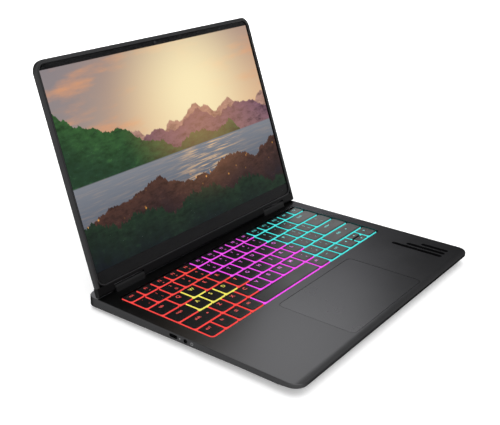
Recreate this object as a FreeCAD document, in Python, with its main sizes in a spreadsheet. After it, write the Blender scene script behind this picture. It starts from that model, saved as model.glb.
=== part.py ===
import FreeCAD, Part
import math
import os
import re
import Sketcher
from FreeCAD import Placement, Rotation, Vector

# A laptop computer, open, standing on its feet.
# +X is the user's right, +Y is away from the user, +Z is up, in millimetres.
# Pieces of the base are drawn with y = 0 at the front edge and z = 0 at the desk.
# Pieces of the lid are drawn upright, with the hinge axis at y = 0 and z = 0.

dimensions = [
    ("base_width", 313.0, "width of the base"),
    ("base_depth", 233.5, "depth of the base"),
    ("base_corner", 11.0, "corner radius of the base in plan"),
    ("front_edge", -146.13, "where the front edge lies in the part's frame"),
    ("deck_level", 12.2, "height of the deck above the desk"),
    ("deck_thick", 1.3, "thickness of the deck plate"),
    ("deck_bevel", 0.5, "cut on the deck's outer edge"),
    ("lip_deep", 6.6, "depth of the deck's falling front lip"),
    ("lip_drop", 0.9, "fall of the deck at its front edge"),
    ("wall_thick", 1.5, "thickness of the side walls"),
    ("band_front", 3.8, "height of the side wall at the front"),
    ("band_back", 8.9, "height of the side wall at the back"),
    ("band_tilt", 1.2512, "slope of the parting line in degrees"),
    ("belly_level", 1.6, "height of the flat bottom above the desk"),
    ("belly_thick", 1.2, "thickness of the bottom cover's floor"),
    ("belly_side", 7.0, "inset of the flat bottom at the sides"),
    ("belly_front", 14.0, "inset of the flat bottom at the front"),
    ("belly_back", 5.0, "inset of the flat bottom at the back"),
    ("screw_side", 139.0, "distance of the bottom screws from the middle"),
    ("boss_radius", 2.6, "radius of the screw bosses"),
    ("screw_hole", 1.05, "radius of the screw holes"),
    ("screw_radius", 1.0, "radius of the screw shanks"),
    ("screw_head", 1.9, "radius of the screw heads"),
    ("head_hole", 2.1, "radius of the recess for a screw head"),
    ("head_thick", 0.8, "thickness of a screw head"),
    ("key_pitch", 18.8, "distance from one key to the next"),
    ("keys_front", 96.0, "front of the keys behind the front edge"),
    ("function_depth", 14.0, "depth of the function row"),
    ("key_gap", 2.1, "gap between the tops of two keys"),
    ("skirt_gap", 0.7, "gap between the feet of two keys"),
    ("key_tall", 2.2, "height of a key cap"),
    ("key_roof", 0.9, "thickness of a key cap's top"),
    ("key_wall", 1.5, "thickness of a key cap's sides"),
    ("key_sink", 0.15, "depth of the key tops below the deck"),
    ("key_round", 2.4, "radius of a key's front corners"),
    ("key_small_round", 0.9, "radius of a key's back corners"),
    ("tray_margin", 1.2, "gap between the keys and the deck opening"),
    ("tray_corner", 4.0, "corner radius of the keyboard opening"),
    ("sheet_level", 8.25, "top of the dome sheet"),
    ("sheet_thick", 0.35, "thickness of the dome sheet"),
    ("dome_tall", 1.2, "height of a pressed dome"),
    ("dome_foot", 1.9, "radius of a dome's foot"),
    ("dome_top", 1.2, "radius of a dome's top"),
    ("plate_thick", 0.8, "thickness of the keyboard plate"),
    ("pad_width", 124.0, "width of the touchpad"),
    ("pad_depth", 78.0, "depth of the touchpad"),
    ("pad_front", 7.4, "front of the touchpad behind the front edge"),
    ("pad_corner", 5.0, "corner radius of the touchpad"),
    ("pad_gap", 0.4, "gap round the touchpad"),
    ("pad_thick", 1.4, "thickness of the touchpad"),
    ("pad_sink", 0.1, "depth of the touchpad below the deck"),
    ("pivot_radius", 0.8, "radius of the touchpad's pivots"),
    ("fit_gap", 0.05, "radial clearance of a turning pin"),
    ("hinge_back", 217.8, "hinge axis behind the front edge"),
    ("hinge_rise", 3.2, "hinge axis above the deck"),
    ("hinge_middle", 116.0, "middle of each hinge from the centre line"),
    ("cover_width", 38.0, "width of a hinge cover"),
    ("cover_radius", 2.85, "radius of a hinge cover's barrel"),
    ("cover_bore", 2.4, "radius of the bore in a hinge cover"),
    ("cover_foot", 3.9, "reach of the hinge cover's foot in front of the axis"),
    ("cover_side", 0.5, "gap between a hinge cover and the lid"),
    ("knuckle_radius", 2.1, "outer radius of the hinge knuckle"),
    ("knuckle_width", 18.0, "width of the hinge knuckle"),
    ("pin_radius", 1.2, "radius of the hinge pin"),
    ("leaf_thick", 0.9, "thickness of the hinge arm in the lid"),
    ("lid_tilt", 19.15, "lid behind upright, in degrees"),
    ("lid_width", 312.0, "width of the lid"),
    ("lid_reach", 217.5, "top edge of the lid from the hinge axis"),
    ("lid_foot", 2.3, "bottom edge of the lid below the hinge axis"),
    ("lid_front", 2.45, "front of the rim from the hinge axis"),
    ("lid_thick", 5.2, "thickness of the lid"),
    ("lid_corner", 11.5, "radius of the lid's top corners"),
    ("lid_skin", 1.0, "thickness of the lid's back"),
    ("lid_edge", 1.4, "rounding of the lid's back edges"),
    ("rim_width", 2.75, "width of the rim"),
    ("chin_top", 6.6, "top of the chin above the hinge axis"),
    ("chin_round", 2.2, "rounding of the chin's lower edges"),
    ("notch_top", 3.9, "top of the gap for a hinge cover above the axis"),
    ("gasket_width", 0.8, "width of the gasket"),
    ("gasket_proud", 0.35, "height of the gasket above the rim"),
    ("glass_front", 2.1, "front of the glass from the hinge axis"),
    ("glass_thick", 0.7, "thickness of the glass"),
    ("mask_thick", 0.25, "thickness of the black mask"),
    ("picture_width", 301.6, "width of the lit picture"),
    ("picture_tall", 188.5, "height of the lit picture"),
    ("picture_foot", 19.75, "bottom of the picture above the hinge axis"),
    ("panel_thick", 1.3, "thickness of the display panel"),
    ("panel_margin", 0.6, "reach of the panel beyond the picture"),
    ("eye_level", 211.4, "webcam above the hinge axis"),
    ("eye_radius", 1.2, "radius of the webcam lens"),
    ("port_wide", 9.0, "width of a USB-C opening"),
    ("port_tall", 3.2, "height of a USB-C opening"),
    ("port_back", 126.0, "side USB-C ports behind the front edge"),
    ("port_drop", 3.0, "middle of the side ports below the deck"),
    ("jack_back", 112.7, "audio jack behind the front edge"),
    ("jack_radius", 1.8, "radius of the audio jack"),
    ("rear_port_level", 7.6, "middle of the rear ports above the desk"),
    ("board_level", 3.6, "underside of the motherboard"),
    ("board_thick", 0.8, "thickness of the motherboard"),
    ("chip_thick", 0.8, "thickness of the chips"),
    ("pipe_thick", 1.5, "thickness of the heat pipes"),
    ("vent_side", 76.0, "first rear vent from the centre line"),
    ("vent_wide", 2.8, "width of a rear vent"),
    ("vent_span", 54.6, "first rear vent to the last"),
    ("fan_side", 103.0, "fan axis from the centre line"),
    ("fan_back", 180.0, "fan axis behind the front edge"),
    ("fan_level", 2.9, "underside of the fan housing"),
    ("fan_tall", 4.0, "height of the fan housing"),
    ("fan_floor", 0.5, "thickness of the fan housing's floor"),
    ("fan_room", 27.5, "radius of the fan chamber"),
    ("rotor_radius", 26.0, "radius of the fan rotor"),
    ("hub_radius", 9.0, "radius of the rotor hub"),
    ("axle_radius", 1.0, "radius of the fan axle"),
]

doc = FreeCAD.newDocument("laptop")
dims = doc.addObject("Spreadsheet::Sheet", "dims")
for row, (alias, amount, note) in enumerate(dimensions, start=1):
    dims.set("A%d" % row, note)
    dims.set("B%d" % row, str(amount))
    dims.setAlias("B%d" % row, alias)
doc.recompute()

word = re.compile(r"[a-z]+(?:_[a-z]+)+")
nodes = []


def linked(text):
    return word.sub(lambda found: "dims." + found.group(0), text)


def reading(text):
    return float(dims.evalExpression(text))


def bind(thing, **links):
    for name, text in links.items():
        thing.setExpression(name, linked(str(text)))


def place(thing, x=0, y=0, z=0):
    for axis, text in zip("xyz", (x, y, z)):
        thing.setExpression("Placement.Base." + axis, linked(str(text)))


def seat_on_base(thing, x=0, y=0, z=0):
    place(thing, x, "front_edge + (%s)" % y, z)


def seat_on_lid(thing):
    thing.Placement = Placement(Vector(), Rotation(Vector(1, 0, 0), -10))
    place(thing, 0, "front_edge + hinge_back", "deck_level + hinge_rise")
    thing.setExpression("Placement.Rotation.Angle", linked("-lid_tilt"))


def finish(thing, label):
    thing.Label = label
    nodes.append(thing)
    return thing


# Sketches: every corner and radius is held by a dimension that reads the sheet.

def sketch_on(body, plane, start, tilt=None):
    sketch = body.newObject("Sketcher::SketchObject", "outline")
    support = [item for item in body.Origin.OriginFeatures if item.Role == plane][0]
    sketch.AttachmentSupport = (support, [""])
    sketch.MapMode = "FlatFace"
    if tilt:
        sketch.AttachmentOffset = Placement(Vector(), Rotation(Vector(1, 0, 0), -1))
        sketch.setExpression("AttachmentOffset.Rotation.Angle", linked(tilt))
    sketch.setExpression("AttachmentOffset.Base.z", linked(str(start)))
    return sketch


def hold(sketch, rules, sizes):
    """Adds the fixed rules of an outline, then its sizes as (kind, text, where)."""
    rules = [Sketcher.Constraint(*rule) for rule in rules]
    for kind, text, *where in sizes:
        rules.append(Sketcher.Constraint(kind, *where, reading(str(text))))
    added = sketch.addConstraint(rules)
    for index, (kind, text, *where) in zip(added[-len(sizes):], sizes):
        name = "size%d" % index
        sketch.renameConstraint(index, name)
        sketch.setExpression("Constraints." + name, linked(str(text)))


def polygon(sketch, corners):
    points = [Vector(reading(str(x)), reading(str(y)), 0) for x, y in corners]
    ends = points[1:] + points[:1]
    edges = [Part.LineSegment(first, last) for first, last in zip(points, ends)]
    lines = sketch.addGeometry(edges, False)
    following = lines[1:] + lines[:1]
    rules = [("Coincident", line, 2, after, 1) for line, after in zip(lines, following)]
    sizes = []
    for line, (x, y) in zip(lines, corners):
        sizes.append(("DistanceX", x, line, 1))
        sizes.append(("DistanceY", y, line, 1))
    hold(sketch, rules, sizes)


def rectangle(sketch, left, right, low, high):
    polygon(sketch, [(left, low), (right, low), (right, high), (left, high)])


def rounded(sketch, left, right, low, high, radius):
    x0, x1 = reading(left), reading(right)
    y0, y1 = reading(low), reading(high)
    r = reading(radius)
    ends = [
        ((x0 + r, y0), (x1 - r, y0)),
        ((x1, y0 + r), (x1, y1 - r)),
        ((x1 - r, y1), (x0 + r, y1)),
        ((x0, y1 - r), (x0, y0 + r)),
    ]
    middles = [(x1 - r, y0 + r), (x1 - r, y1 - r), (x0 + r, y1 - r), (x0 + r, y0 + r)]
    quarter = 1.5707963267948966
    lines = []
    arcs = []
    for index in range(4):
        first, last = ends[index]
        line = Part.LineSegment(Vector(*first, 0), Vector(*last, 0))
        lines.append(sketch.addGeometry(line, False))
        circle = Part.Circle(Vector(*middles[index], 0), Vector(0, 0, 1), r)
        arc = Part.ArcOfCircle(circle, quarter * (index - 1), quarter * index)
        arcs.append(sketch.addGeometry(arc, False))
    rules = [("Equal", arcs[0], arc) for arc in arcs[1:]]
    for index in range(4):
        rules.append(("Tangent", lines[index], 2, arcs[index], 1))
        rules.append(("Tangent", arcs[index], 2, lines[(index + 1) % 4], 1))
        rules.append(("Vertical" if index % 2 else "Horizontal", lines[index]))
    hold(sketch, rules, [("Radius", radius, arcs[0]),
                         ("DistanceY", low, lines[0], 1), ("DistanceX", right, lines[1], 1),
                         ("DistanceY", high, lines[2], 1), ("DistanceX", left, lines[3], 1)])


def ring(sketch, x, y, radius):
    centre = Vector(reading(str(x)), reading(str(y)), 0)
    circle = Part.Circle(centre, Vector(0, 0, 1), reading(radius))
    index = sketch.addGeometry(circle, False)
    hold(sketch, [], [("DistanceX", x, index, 3), ("DistanceY", y, index, 3),
                      ("Radius", radius, index)])


def lip_profile(sketch):
    """The wedge above an arc that leaves the deck level and falls to the front edge."""
    radius = "(lip_deep * lip_deep + lip_drop * lip_drop) / (2 * lip_drop)"
    r, deep, level = reading(radius), reading("lip_deep"), reading("deck_level")
    front, top = -1.0, level + 1.0
    foot = level - r + (r * r - (deep - front) ** 2) ** 0.5
    middle = Vector(deep, level - r, 0)
    begin, end = Vector(deep, level, 0), Vector(front, foot, 0)
    corners = [end, Vector(front, top, 0), Vector(deep, top, 0), begin]
    half_turn = 3.141592653589793
    swing = math.atan2(end.y - middle.y, end.x - middle.x)
    circle = Part.Circle(middle, Vector(0, 0, 1), r)
    arc = sketch.addGeometry(Part.ArcOfCircle(circle, half_turn / 2, swing), False)
    edges = [Part.LineSegment(first, last) for first, last in zip(corners, corners[1:])]
    rise, across, fall = sketch.addGeometry(edges, False)
    rules = [("Coincident", arc, 2, rise, 1), ("Coincident", rise, 2, across, 1),
             ("Coincident", across, 2, fall, 1), ("Coincident", fall, 2, arc, 1)]
    hold(sketch, rules, [("DistanceX", "lip_deep", arc, 3),
                         ("DistanceY", "deck_level - %s" % radius, arc, 3),
                         ("Radius", radius, arc), ("DistanceX", "lip_deep", arc, 1),
                         ("DistanceX", -1, arc, 2), ("DistanceX", -1, across, 1),
                         ("DistanceY", "deck_level + 1", across, 1),
                         ("DistanceX", "lip_deep", fall, 1),
                         ("DistanceY", "deck_level + 1", fall, 1)])


def new_body():
    return doc.addObject("PartDesign::Body", "body")


def pad(body, sketch, length):
    feature = body.newObject("PartDesign::Pad", "pad")
    feature.Profile = sketch
    bind(feature, Length=length)
    return feature


def pocket(body, sketch, length):
    feature = body.newObject("PartDesign::Pocket", "pocket")
    feature.Profile = sketch
    feature.Reversed = True
    bind(feature, Length=length)
    return feature


def repeat(body, feature, steps, mirror=True):
    """Repeats a feature along the given axes, and on the other side of the middle."""
    many = body.newObject("PartDesign::MultiTransform", "many")
    many.Originals = [feature]
    origin = {item.Role: item for item in body.Origin.OriginFeatures}
    moves = []
    for axis, span, count in steps:
        line = body.newObject("PartDesign::LinearPattern", "along")
        line.Direction = (origin[axis], [""])
        line.Occurrences = count
        bind(line, Length=span)
        moves.append(line)
    if mirror:
        flip = body.newObject("PartDesign::Mirrored", "flip")
        flip.MirrorPlane = (origin["YZ_Plane"], [""])
        moves.append(flip)
    many.Transformations = moves
    body.Tip = many


def dress(body, kind, size, chosen):
    doc.recompute()
    base = body.Tip
    names = []
    for index, edge in enumerate(base.Shape.Edges, start=1):
        if chosen(edge):
            names.append("Edge%d" % index)
    feature = body.newObject("PartDesign::" + kind, "edge")
    feature.Base = (base, names)
    bind(feature, **{"Radius" if kind == "Fillet" else "Size": size})
    return feature


# Plain solids for the pieces that are put together from blocks and rods.

def block(x, y, z):
    solid = doc.addObject("Part::Box", "block")
    low = [str(pair[0]) for pair in (x, y, z)]
    high = [str(pair[1]) for pair in (x, y, z)]
    spans = ["(%s) - (%s)" % (top, bottom) for bottom, top in zip(low, high)]
    bind(solid, Length=spans[0], Width=spans[1], Height=spans[2])
    seat_on_base(solid, *low)
    return solid


def rod(x, y, z, radius, length, axis=Vector(0, 0, 1)):
    solid = doc.addObject("Part::Cylinder", "rod")
    bind(solid, Radius=radius, Height=length)
    solid.Placement = Placement(Vector(), Rotation(Vector(0, 0, 1), axis))
    seat_on_base(solid, x, y, z)
    return solid


def joined(*solids):
    fuse = doc.addObject("Part::MultiFuse", "joined")
    fuse.Shapes = list(solids)
    return fuse


def cut(solid, *tools):
    feature = doc.addObject("Part::Cut", "cut")
    feature.Base = solid
    feature.Tool = tools[0] if len(tools) == 1 else joined(*tools)
    return feature


def group(solids):
    gathered = doc.addObject("Part::Compound", "group")
    gathered.Links = list(solids)
    return gathered


to_right = Vector(1, 0, 0)
sides = [("left", -1), ("right", 1)]
half_width = "base_width / 2"
screw_backs = [26, 88, 212]
rear_ports = [("rear_usb_c_port", 44, 9.0, 3.2), ("rear_usb_a_port", 10, 13.2, 5.4),
              ("hdmi_port", -26, 14.6, 4.6)]


def top_cover():
    body = new_body()
    outline = sketch_on(body, "XY_Plane", "deck_level - band_back - 0.4")
    rounded(outline, "-base_width / 2", half_width, "0", "base_depth", "base_corner")
    pad(body, outline, "band_back + 0.4")

    # the walls end at a parting line that falls towards the back
    below = sketch_on(body, "YZ_Plane", "-base_width / 2 - 1")
    polygon(below, [(-1, "deck_level - band_front + (band_back - band_front) / base_depth"),
                    (-1, -5), ("base_depth + 1", -5),
                    ("base_depth + 1",
                     "deck_level - band_back - (band_back - band_front) / base_depth")])
    pocket(body, below, "base_width + 2")

    hollow = sketch_on(body, "XY_Plane", "-1")
    rounded(hollow, "-base_width / 2 + wall_thick", "base_width / 2 - wall_thick",
            "wall_thick", "base_depth - wall_thick", "base_corner - wall_thick")
    pocket(body, hollow, "deck_level - deck_thick + 1")

    openings = sketch_on(body, "XY_Plane", "deck_level - deck_thick - 1")
    rounded(openings, "-7.5 * key_pitch - tray_margin", "7.5 * key_pitch + tray_margin",
            "keys_front - tray_margin",
            "keys_front + 5 * key_pitch + function_depth + tray_margin", "tray_corner")
    rounded(openings, "-pad_width / 2 - pad_gap", "pad_width / 2 + pad_gap",
            "pad_front - pad_gap", "pad_front + pad_depth + pad_gap", "pad_corner + pad_gap")
    for side, sign in sides:
        rectangle(openings, "%d * hinge_middle - knuckle_width / 2 - 0.5" % sign,
                  "%d * hinge_middle + knuckle_width / 2 + 0.5" % sign,
                  "hinge_back - 1.6", "hinge_back + 1.6")
    pocket(body, openings, "deck_thick + 2")

    posts = sketch_on(body, "XY_Plane", "belly_level + belly_thick")
    for side, sign in sides:
        for back in screw_backs:
            ring(posts, "%d * screw_side" % sign, back, "boss_radius")
    pad(body, posts, "deck_level - deck_thick - belly_level - belly_thick")
    bores = sketch_on(body, "XY_Plane", "belly_level")
    for side, sign in sides:
        for back in screw_backs:
            ring(bores, "%d * screw_side" % sign, back, "screw_hole")
    pocket(body, bores, "5")

    left_holes = sketch_on(body, "YZ_Plane", "-base_width / 2 - 1")
    port_hole(left_holes, "port_back", "deck_level - port_drop", "port_wide", "port_tall")
    ring(left_holes, "jack_back", "deck_level - port_drop", "jack_radius + 0.2")
    pocket(body, left_holes, "wall_thick + 2")
    right_holes = sketch_on(body, "YZ_Plane", "base_width / 2 - wall_thick - 1")
    port_hole(right_holes, "port_back", "deck_level - port_drop", "port_wide", "port_tall")
    pocket(body, right_holes, "wall_thick + 2")

    rear_holes = sketch_on(body, "XZ_Plane", "-base_depth - 1")
    for name, middle, wide, tall in rear_ports:
        rectangle(rear_holes, middle - wide / 2, middle + wide / 2,
                  "rear_port_level - %s" % (tall / 2), "rear_port_level + %s" % (tall / 2))
    pocket(body, rear_holes, "wall_thick + 2")
    vent = sketch_on(body, "XZ_Plane", "-base_depth - 1")
    rectangle(vent, "vent_side", "vent_side + vent_wide", 4.9, 9.6)
    repeat(body, pocket(body, vent, "wall_thick + 2"), [("X_Axis", "vent_span", 14)])

    lip = sketch_on(body, "YZ_Plane", "-base_width / 2 - 1")
    lip_profile(lip)
    pocket(body, lip, "base_width + 2")

    level = reading("deck_level")
    fall = reading("lip_drop")
    reach = reading("base_width") / 2
    depth = reading("base_depth")

    def outer_edge(edge):
        box = edge.BoundBox
        flat = box.ZMin > level - fall - 0.01
        outside = (box.XMax > reach - 0.01 or box.XMin < 0.01 - reach
                   or box.YMin < 0.01 or box.YMax > depth - 0.01)
        return flat and outside

    dress(body, "Chamfer", "deck_bevel", outer_edge)
    seat_on_base(body)
    return finish(body, "top_cover")


def port_hole(sketch, middle, level, wide, tall):
    rounded(sketch, "%s - %s / 2" % (middle, wide), "%s + %s / 2" % (middle, wide),
            "%s - %s / 2" % (level, tall), "%s + %s / 2" % (level, tall), "%s / 2 - 0.1" % tall)


def bottom_cover():
    body = new_body()

    def bowl(kind, inset, floor, low):
        upper = sketch_on(body, "XY_Plane", "deck_level - band_front", "-band_tilt")
        rounded(upper, "-base_width / 2 + %s" % inset, "base_width / 2 - (%s)" % inset,
                inset, "base_depth / cos(band_tilt * 1 deg) - (%s)" % inset,
                "base_corner - (%s)" % inset)
        lower = sketch_on(body, "XY_Plane", low)
        rounded(lower, "-base_width / 2 + belly_side + %s" % floor,
                "base_width / 2 - belly_side - %s" % floor, "belly_front + %s" % floor,
                "base_depth - belly_back - %s" % floor, "base_corner - (%s)" % inset)
        loft = body.newObject("PartDesign::" + kind, "bowl")
        loft.Profile = upper
        loft.Sections = [lower]
        loft.Ruled = True

    bowl("AdditiveLoft", "0", "0", "belly_level")
    bowl("SubtractiveLoft", "wall_thick", "2.5", "belly_level + belly_thick")

    holes = sketch_on(body, "XY_Plane", "belly_level - 1")
    for side, sign in sides:
        for back in screw_backs:
            ring(holes, "%d * screw_side" % sign, back, "screw_hole")
    pocket(body, holes, "belly_thick + 2")
    intake = sketch_on(body, "XY_Plane", "belly_level - 1")
    rectangle(intake, 77, 79.4, 156, 168)
    repeat(body, pocket(body, intake, "belly_thick + 2"), [("X_Axis", 50, 9), ("Y_Axis", 30, 3)])
    sound = sketch_on(body, "XY_Plane", "belly_level - 1")
    rectangle(sound, 113, 114.4, 50, 60)
    repeat(body, pocket(body, sound, "belly_thick + 2"), [("X_Axis", 20, 7)])
    recesses = sketch_on(body, "XY_Plane", "belly_level - 1")
    for side, sign in sides:
        for back in screw_backs:
            ring(recesses, "%d * screw_side" % sign, back, "head_hole")
    pocket(body, recesses, "1 + head_thick")
    seat_on_base(body)
    return finish(body, "bottom_cover")


def bottom_screws():
    screws = []
    for side, sign in sides:
        for back in screw_backs:
            x = "%d * screw_side" % sign
            head = rod(x, back, "belly_level", "screw_head", "head_thick")
            shank = rod(x, back, "belly_level", "screw_radius", "4.6")
            slot_long = block(("%s - 1.2" % x, "%s + 1.2" % x), (back - 0.25, back + 0.25),
                              ("belly_level - 1", "belly_level + 0.4"))
            slot_wide = block(("%s - 0.25" % x, "%s + 0.25" % x), (back - 1.2, back + 1.2),
                              ("belly_level - 1", "belly_level + 0.4"))
            screws.append(cut(joined(head, shank), slot_long, slot_wide))
    finish(group(screws), "bottom_screws")


def feet():
    for label, reach, low, high in [("front_foot", 105, 21, 29), ("rear_foot", 128, 206, 218)]:
        body = new_body()
        outline = sketch_on(body, "XY_Plane", "0")
        rounded(outline, str(-reach), str(reach), str(low), str(high), str((high - low) / 2 - 0.2))
        pad(body, outline, "belly_level")
        dress(body, "Fillet", "0.6", lambda edge: edge.BoundBox.ZMax < 0.01)
        seat_on_base(body)
        finish(body, label)


# Keys: each row runs left to right, every key given as its node and its width in pitches.

def row_of(node, count):
    return [(node, 1.0)] * count


key_rows = [
    row_of("modifier_keys", 4) + [("key_space", 5.0)] + row_of("modifier_keys", 3)
    + [("key_arrow_left", 1.0), ("up_and_down", 1.0), ("key_arrow_right", 1.0)],
    [("key_shift_left", 2.0)] + row_of("lower_letter_keys", 10) + [("key_shift_right", 3.0)],
    [("key_caps", 1.55)] + row_of("home_letter_keys", 11) + [("key_enter", 2.45)],
    [("key_tab", 1.3)] + row_of("upper_letter_keys", 12) + [("key_backslash", 1.7)],
    [("number_keys", 0.86)] + row_of("number_keys", 12) + [("key_backspace", 2.14)],
    row_of("function_keys", 14) + [("key_power", 1.0)],
]


def key_cells():
    cells = []
    for row, keys in enumerate(key_rows):
        start = -7.5
        low = "keys_front + %d * key_pitch" % row
        high = "%s + %s" % (low, "function_depth" if row == 5 else "key_pitch")
        for node, wide in keys:
            left = "%.3f * key_pitch" % start
            right = "%.3f * key_pitch" % (start + wide)
            if node == "up_and_down":
                middle = "%s + key_pitch / 2" % low
                cells.append(("key_arrow_down", left, right, low, middle))
                cells.append(("key_arrow_up", left, right, middle, high))
            else:
                cells.append((node, left, right, low, high))
            start += wide
    return cells


def key_cap(left, right, low, high):
    """A cap is a hollow block that widens to its foot, with rounder corners at the front."""
    bottom = "deck_level - key_sink - key_tall"
    block_up = Rotation(Vector(1, 0, 0), 90)
    outer = doc.addObject("Part::Wedge", "cap")
    outer.Placement = Placement(Vector(), block_up)
    bind(outer, Xmin="%s + skirt_gap / 2" % left, Xmax="%s - skirt_gap / 2" % right,
         X2min="%s + key_gap / 2" % left, X2max="%s - key_gap / 2" % right,
         Zmin="-(%s) + skirt_gap / 2" % high, Zmax="-(%s) - skirt_gap / 2" % low,
         Z2min="-(%s) + key_gap / 2" % high, Z2max="-(%s) - key_gap / 2" % low,
         Ymin="0", Ymax="key_tall")
    seat_on_base(outer, 0, 0, bottom)
    rounded_cap = doc.addObject("Part::Fillet", "cap")
    rounded_cap.Base = outer
    rounded_cap.Edges = cap_corners(outer)
    inside = "key_gap / 2 + key_wall"
    room = block(("%s + %s" % (left, inside), "%s - (%s)" % (right, inside)),
                 ("%s + %s" % (low, inside), "%s - (%s)" % (high, inside)),
                 (bottom + " - 1", bottom + " + key_tall - key_roof"))
    return cut(rounded_cap, room)


corners_found = []


def cap_corners(cap):
    """The four upright edges, the same on every cap, with their radii."""
    if not corners_found:
        doc.recompute()
        middle = cap.Shape.BoundBox.Center
        for index, edge in enumerate(cap.Shape.Edges, start=1):
            if edge.BoundBox.ZLength > 0.5:
                front = edge.CenterOfMass.y < middle.y
                radius = reading("key_round" if front else "key_small_round")
                corners_found.append((index, radius, radius))
    return corners_found


def keys():
    caps = {}
    domes = []
    for node, left, right, low, high in key_cells():
        caps.setdefault(node, []).append(key_cap(left, right, low, high))
        dome = doc.addObject("Part::Cone", "dome")
        bind(dome, Radius1="dome_foot", Radius2="dome_top", Height="dome_tall")
        seat_on_base(dome, "(%s + %s) / 2" % (left, right), "(%s + %s) / 2" % (low, high),
                     "sheet_level")
        domes.append(dome)
    for node, solids in caps.items():
        finish(solids[0] if len(solids) == 1 else group(solids), node)
    sheet = block(("-7.5 * key_pitch", "7.5 * key_pitch"),
                  ("keys_front", "keys_front + 5 * key_pitch + function_depth"),
                  ("sheet_level - sheet_thick", "sheet_level"))
    finish(joined(sheet, *domes), "dome_sheet")


def keyboard_plate():
    body = new_body()
    top = "sheet_level - sheet_thick"
    back = "keys_front + 5 * key_pitch + function_depth"
    outline = sketch_on(body, "XY_Plane", top + " - plate_thick")
    rectangle(outline, "-7.5 * key_pitch - 1", "7.5 * key_pitch + 1",
              "keys_front - 4.5", back + " + 4.5")
    pad(body, outline, "plate_thick")
    rails = sketch_on(body, "XY_Plane", top)
    rectangle(rails, "-7.5 * key_pitch - 1", "7.5 * key_pitch + 1",
              "keys_front - 4.5", "keys_front - 2")
    rectangle(rails, "-7.5 * key_pitch - 1", "7.5 * key_pitch + 1", back + " + 2", back + " + 4.5")
    pad(body, rails, "deck_level - deck_thick - (%s)" % top)
    seat_on_base(body)
    finish(body, "keyboard_plate")


def touchpad():
    top = "deck_level - pad_sink"
    body = new_body()
    outline = sketch_on(body, "XY_Plane", top + " - pad_thick")
    rounded(outline, "-pad_width / 2", "pad_width / 2", "pad_front", "pad_front + pad_depth",
            "pad_corner")
    pad(body, outline, "pad_thick")
    # two lugs below the back edge carry the pivots
    lugs = sketch_on(body, "YZ_Plane", "-40")
    rectangle(lugs, "pad_front + pad_depth - 6", "pad_front + pad_depth - 3",
              "deck_level - 3.4", top + " - pad_thick")
    pad(body, lugs, "80")
    pivots = sketch_on(body, "YZ_Plane", "-46")
    ring(pivots, "pad_front + pad_depth - 4.5", "deck_level - 2.6", "pivot_radius")
    pad(body, pivots, "92")
    seat_on_base(body)
    finish(body, "touchpad")

    frame = new_body()
    floor = sketch_on(frame, "XY_Plane", "deck_level - 4.4")
    rectangle(floor, "-pad_width / 2 - 5", "pad_width / 2 + 5", "pad_front + 4",
              "pad_front + pad_depth + 3")
    pad(frame, floor, "0.6")
    rails = sketch_on(frame, "XY_Plane", "deck_level - 4.4")
    for side, sign in sides:
        near = "%d * (pad_width / 2 + 1.5)" % sign
        far = "%d * (pad_width / 2 + 5)" % sign
        ends = (near, far) if sign > 0 else (far, near)
        rectangle(rails, ends[0], ends[1], "pad_front + 4", "pad_front + pad_depth + 3")
    pad(frame, rails, "4.4 - deck_thick")
    ears = sketch_on(frame, "XY_Plane", "deck_level - 4.4")
    for side, sign in sides:
        ends = (41, 45.5) if sign > 0 else (-45.5, -41)
        rectangle(ears, ends[0], ends[1], "pad_front + pad_depth - 7",
                  "pad_front + pad_depth - 2")
    pad(frame, ears, "2.6")
    bore = sketch_on(frame, "YZ_Plane", "-50")
    ring(bore, "pad_front + pad_depth - 4.5", "deck_level - 2.6", "pivot_radius + fit_gap")
    pocket(frame, bore, "100")
    seat_on_base(frame)
    finish(frame, "touchpad_frame")


def hinges():
    axis = "deck_level + hinge_rise"
    for side, sign in sides:
        middle = "%d * hinge_middle" % sign

        # the cover is a barrel on a foot that slopes forward to the deck
        cover = new_body()
        profile = sketch_on(cover, "YZ_Plane", middle + " - cover_width / 2")
        cover_profile(profile)
        pad(cover, profile, "cover_width")
        bore = sketch_on(cover, "YZ_Plane", middle + " - cover_width / 2 - 1")
        ring(bore, "hinge_back", axis, "cover_bore")
        pocket(cover, bore, "cover_width + 2")
        slot = sketch_on(cover, "XY_Plane", "deck_level - 1")
        rectangle(slot, middle + " - knuckle_width / 2 - 0.5", middle + " + knuckle_width / 2 + 0.5",
                  "hinge_back - 1.6", "hinge_back + 1.6")
        pocket(cover, slot, "hinge_rise + 1")
        seat_on_base(cover)
        finish(cover, "hinge_cover_" + side)

        start = middle + " - knuckle_width / 2"
        plate = block((middle + " - 15", middle + " + 15"), ("hinge_back - 8.5", "hinge_back + 8"),
                      ("deck_level - deck_thick - 1.2", "deck_level - deck_thick"))
        leaf = block((start, start + " + knuckle_width"), ("hinge_back - 1.2", "hinge_back + 1.2"),
                     ("deck_level - deck_thick - 1.2", axis))
        knuckle = rod(start, "hinge_back", axis, "knuckle_radius", "knuckle_width", to_right)
        hole = rod(start + " - 1", "hinge_back", axis, "pin_radius + fit_gap",
                   "knuckle_width + 2", to_right)
        finish(cut(joined(plate, leaf, knuckle), hole), "hinge_bracket_" + side)

        # the arm lies in the lid and carries the pin
        arm = new_body()
        pin = sketch_on(arm, "YZ_Plane", middle + " - cover_width / 2 - 5")
        ring(pin, "0", "0", "pin_radius")
        pad(arm, pin, "cover_width + 10")
        inner = "%d * (hinge_middle - cover_width / 2 - 1)" % sign
        leaf_ends = [inner, "%d * (hinge_middle - cover_width / 2 - 13)" % sign]
        if sign > 0:
            leaf_ends.reverse()
        leaf_face = sketch_on(arm, "XZ_Plane", "-pin_radius - 0.2")
        rectangle(leaf_face, leaf_ends[0], leaf_ends[1], "-1", "28")
        pad(arm, leaf_face, "leaf_thick")
        seat_on_lid(arm)
        finish(arm, "hinge_arm_" + side)


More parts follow.
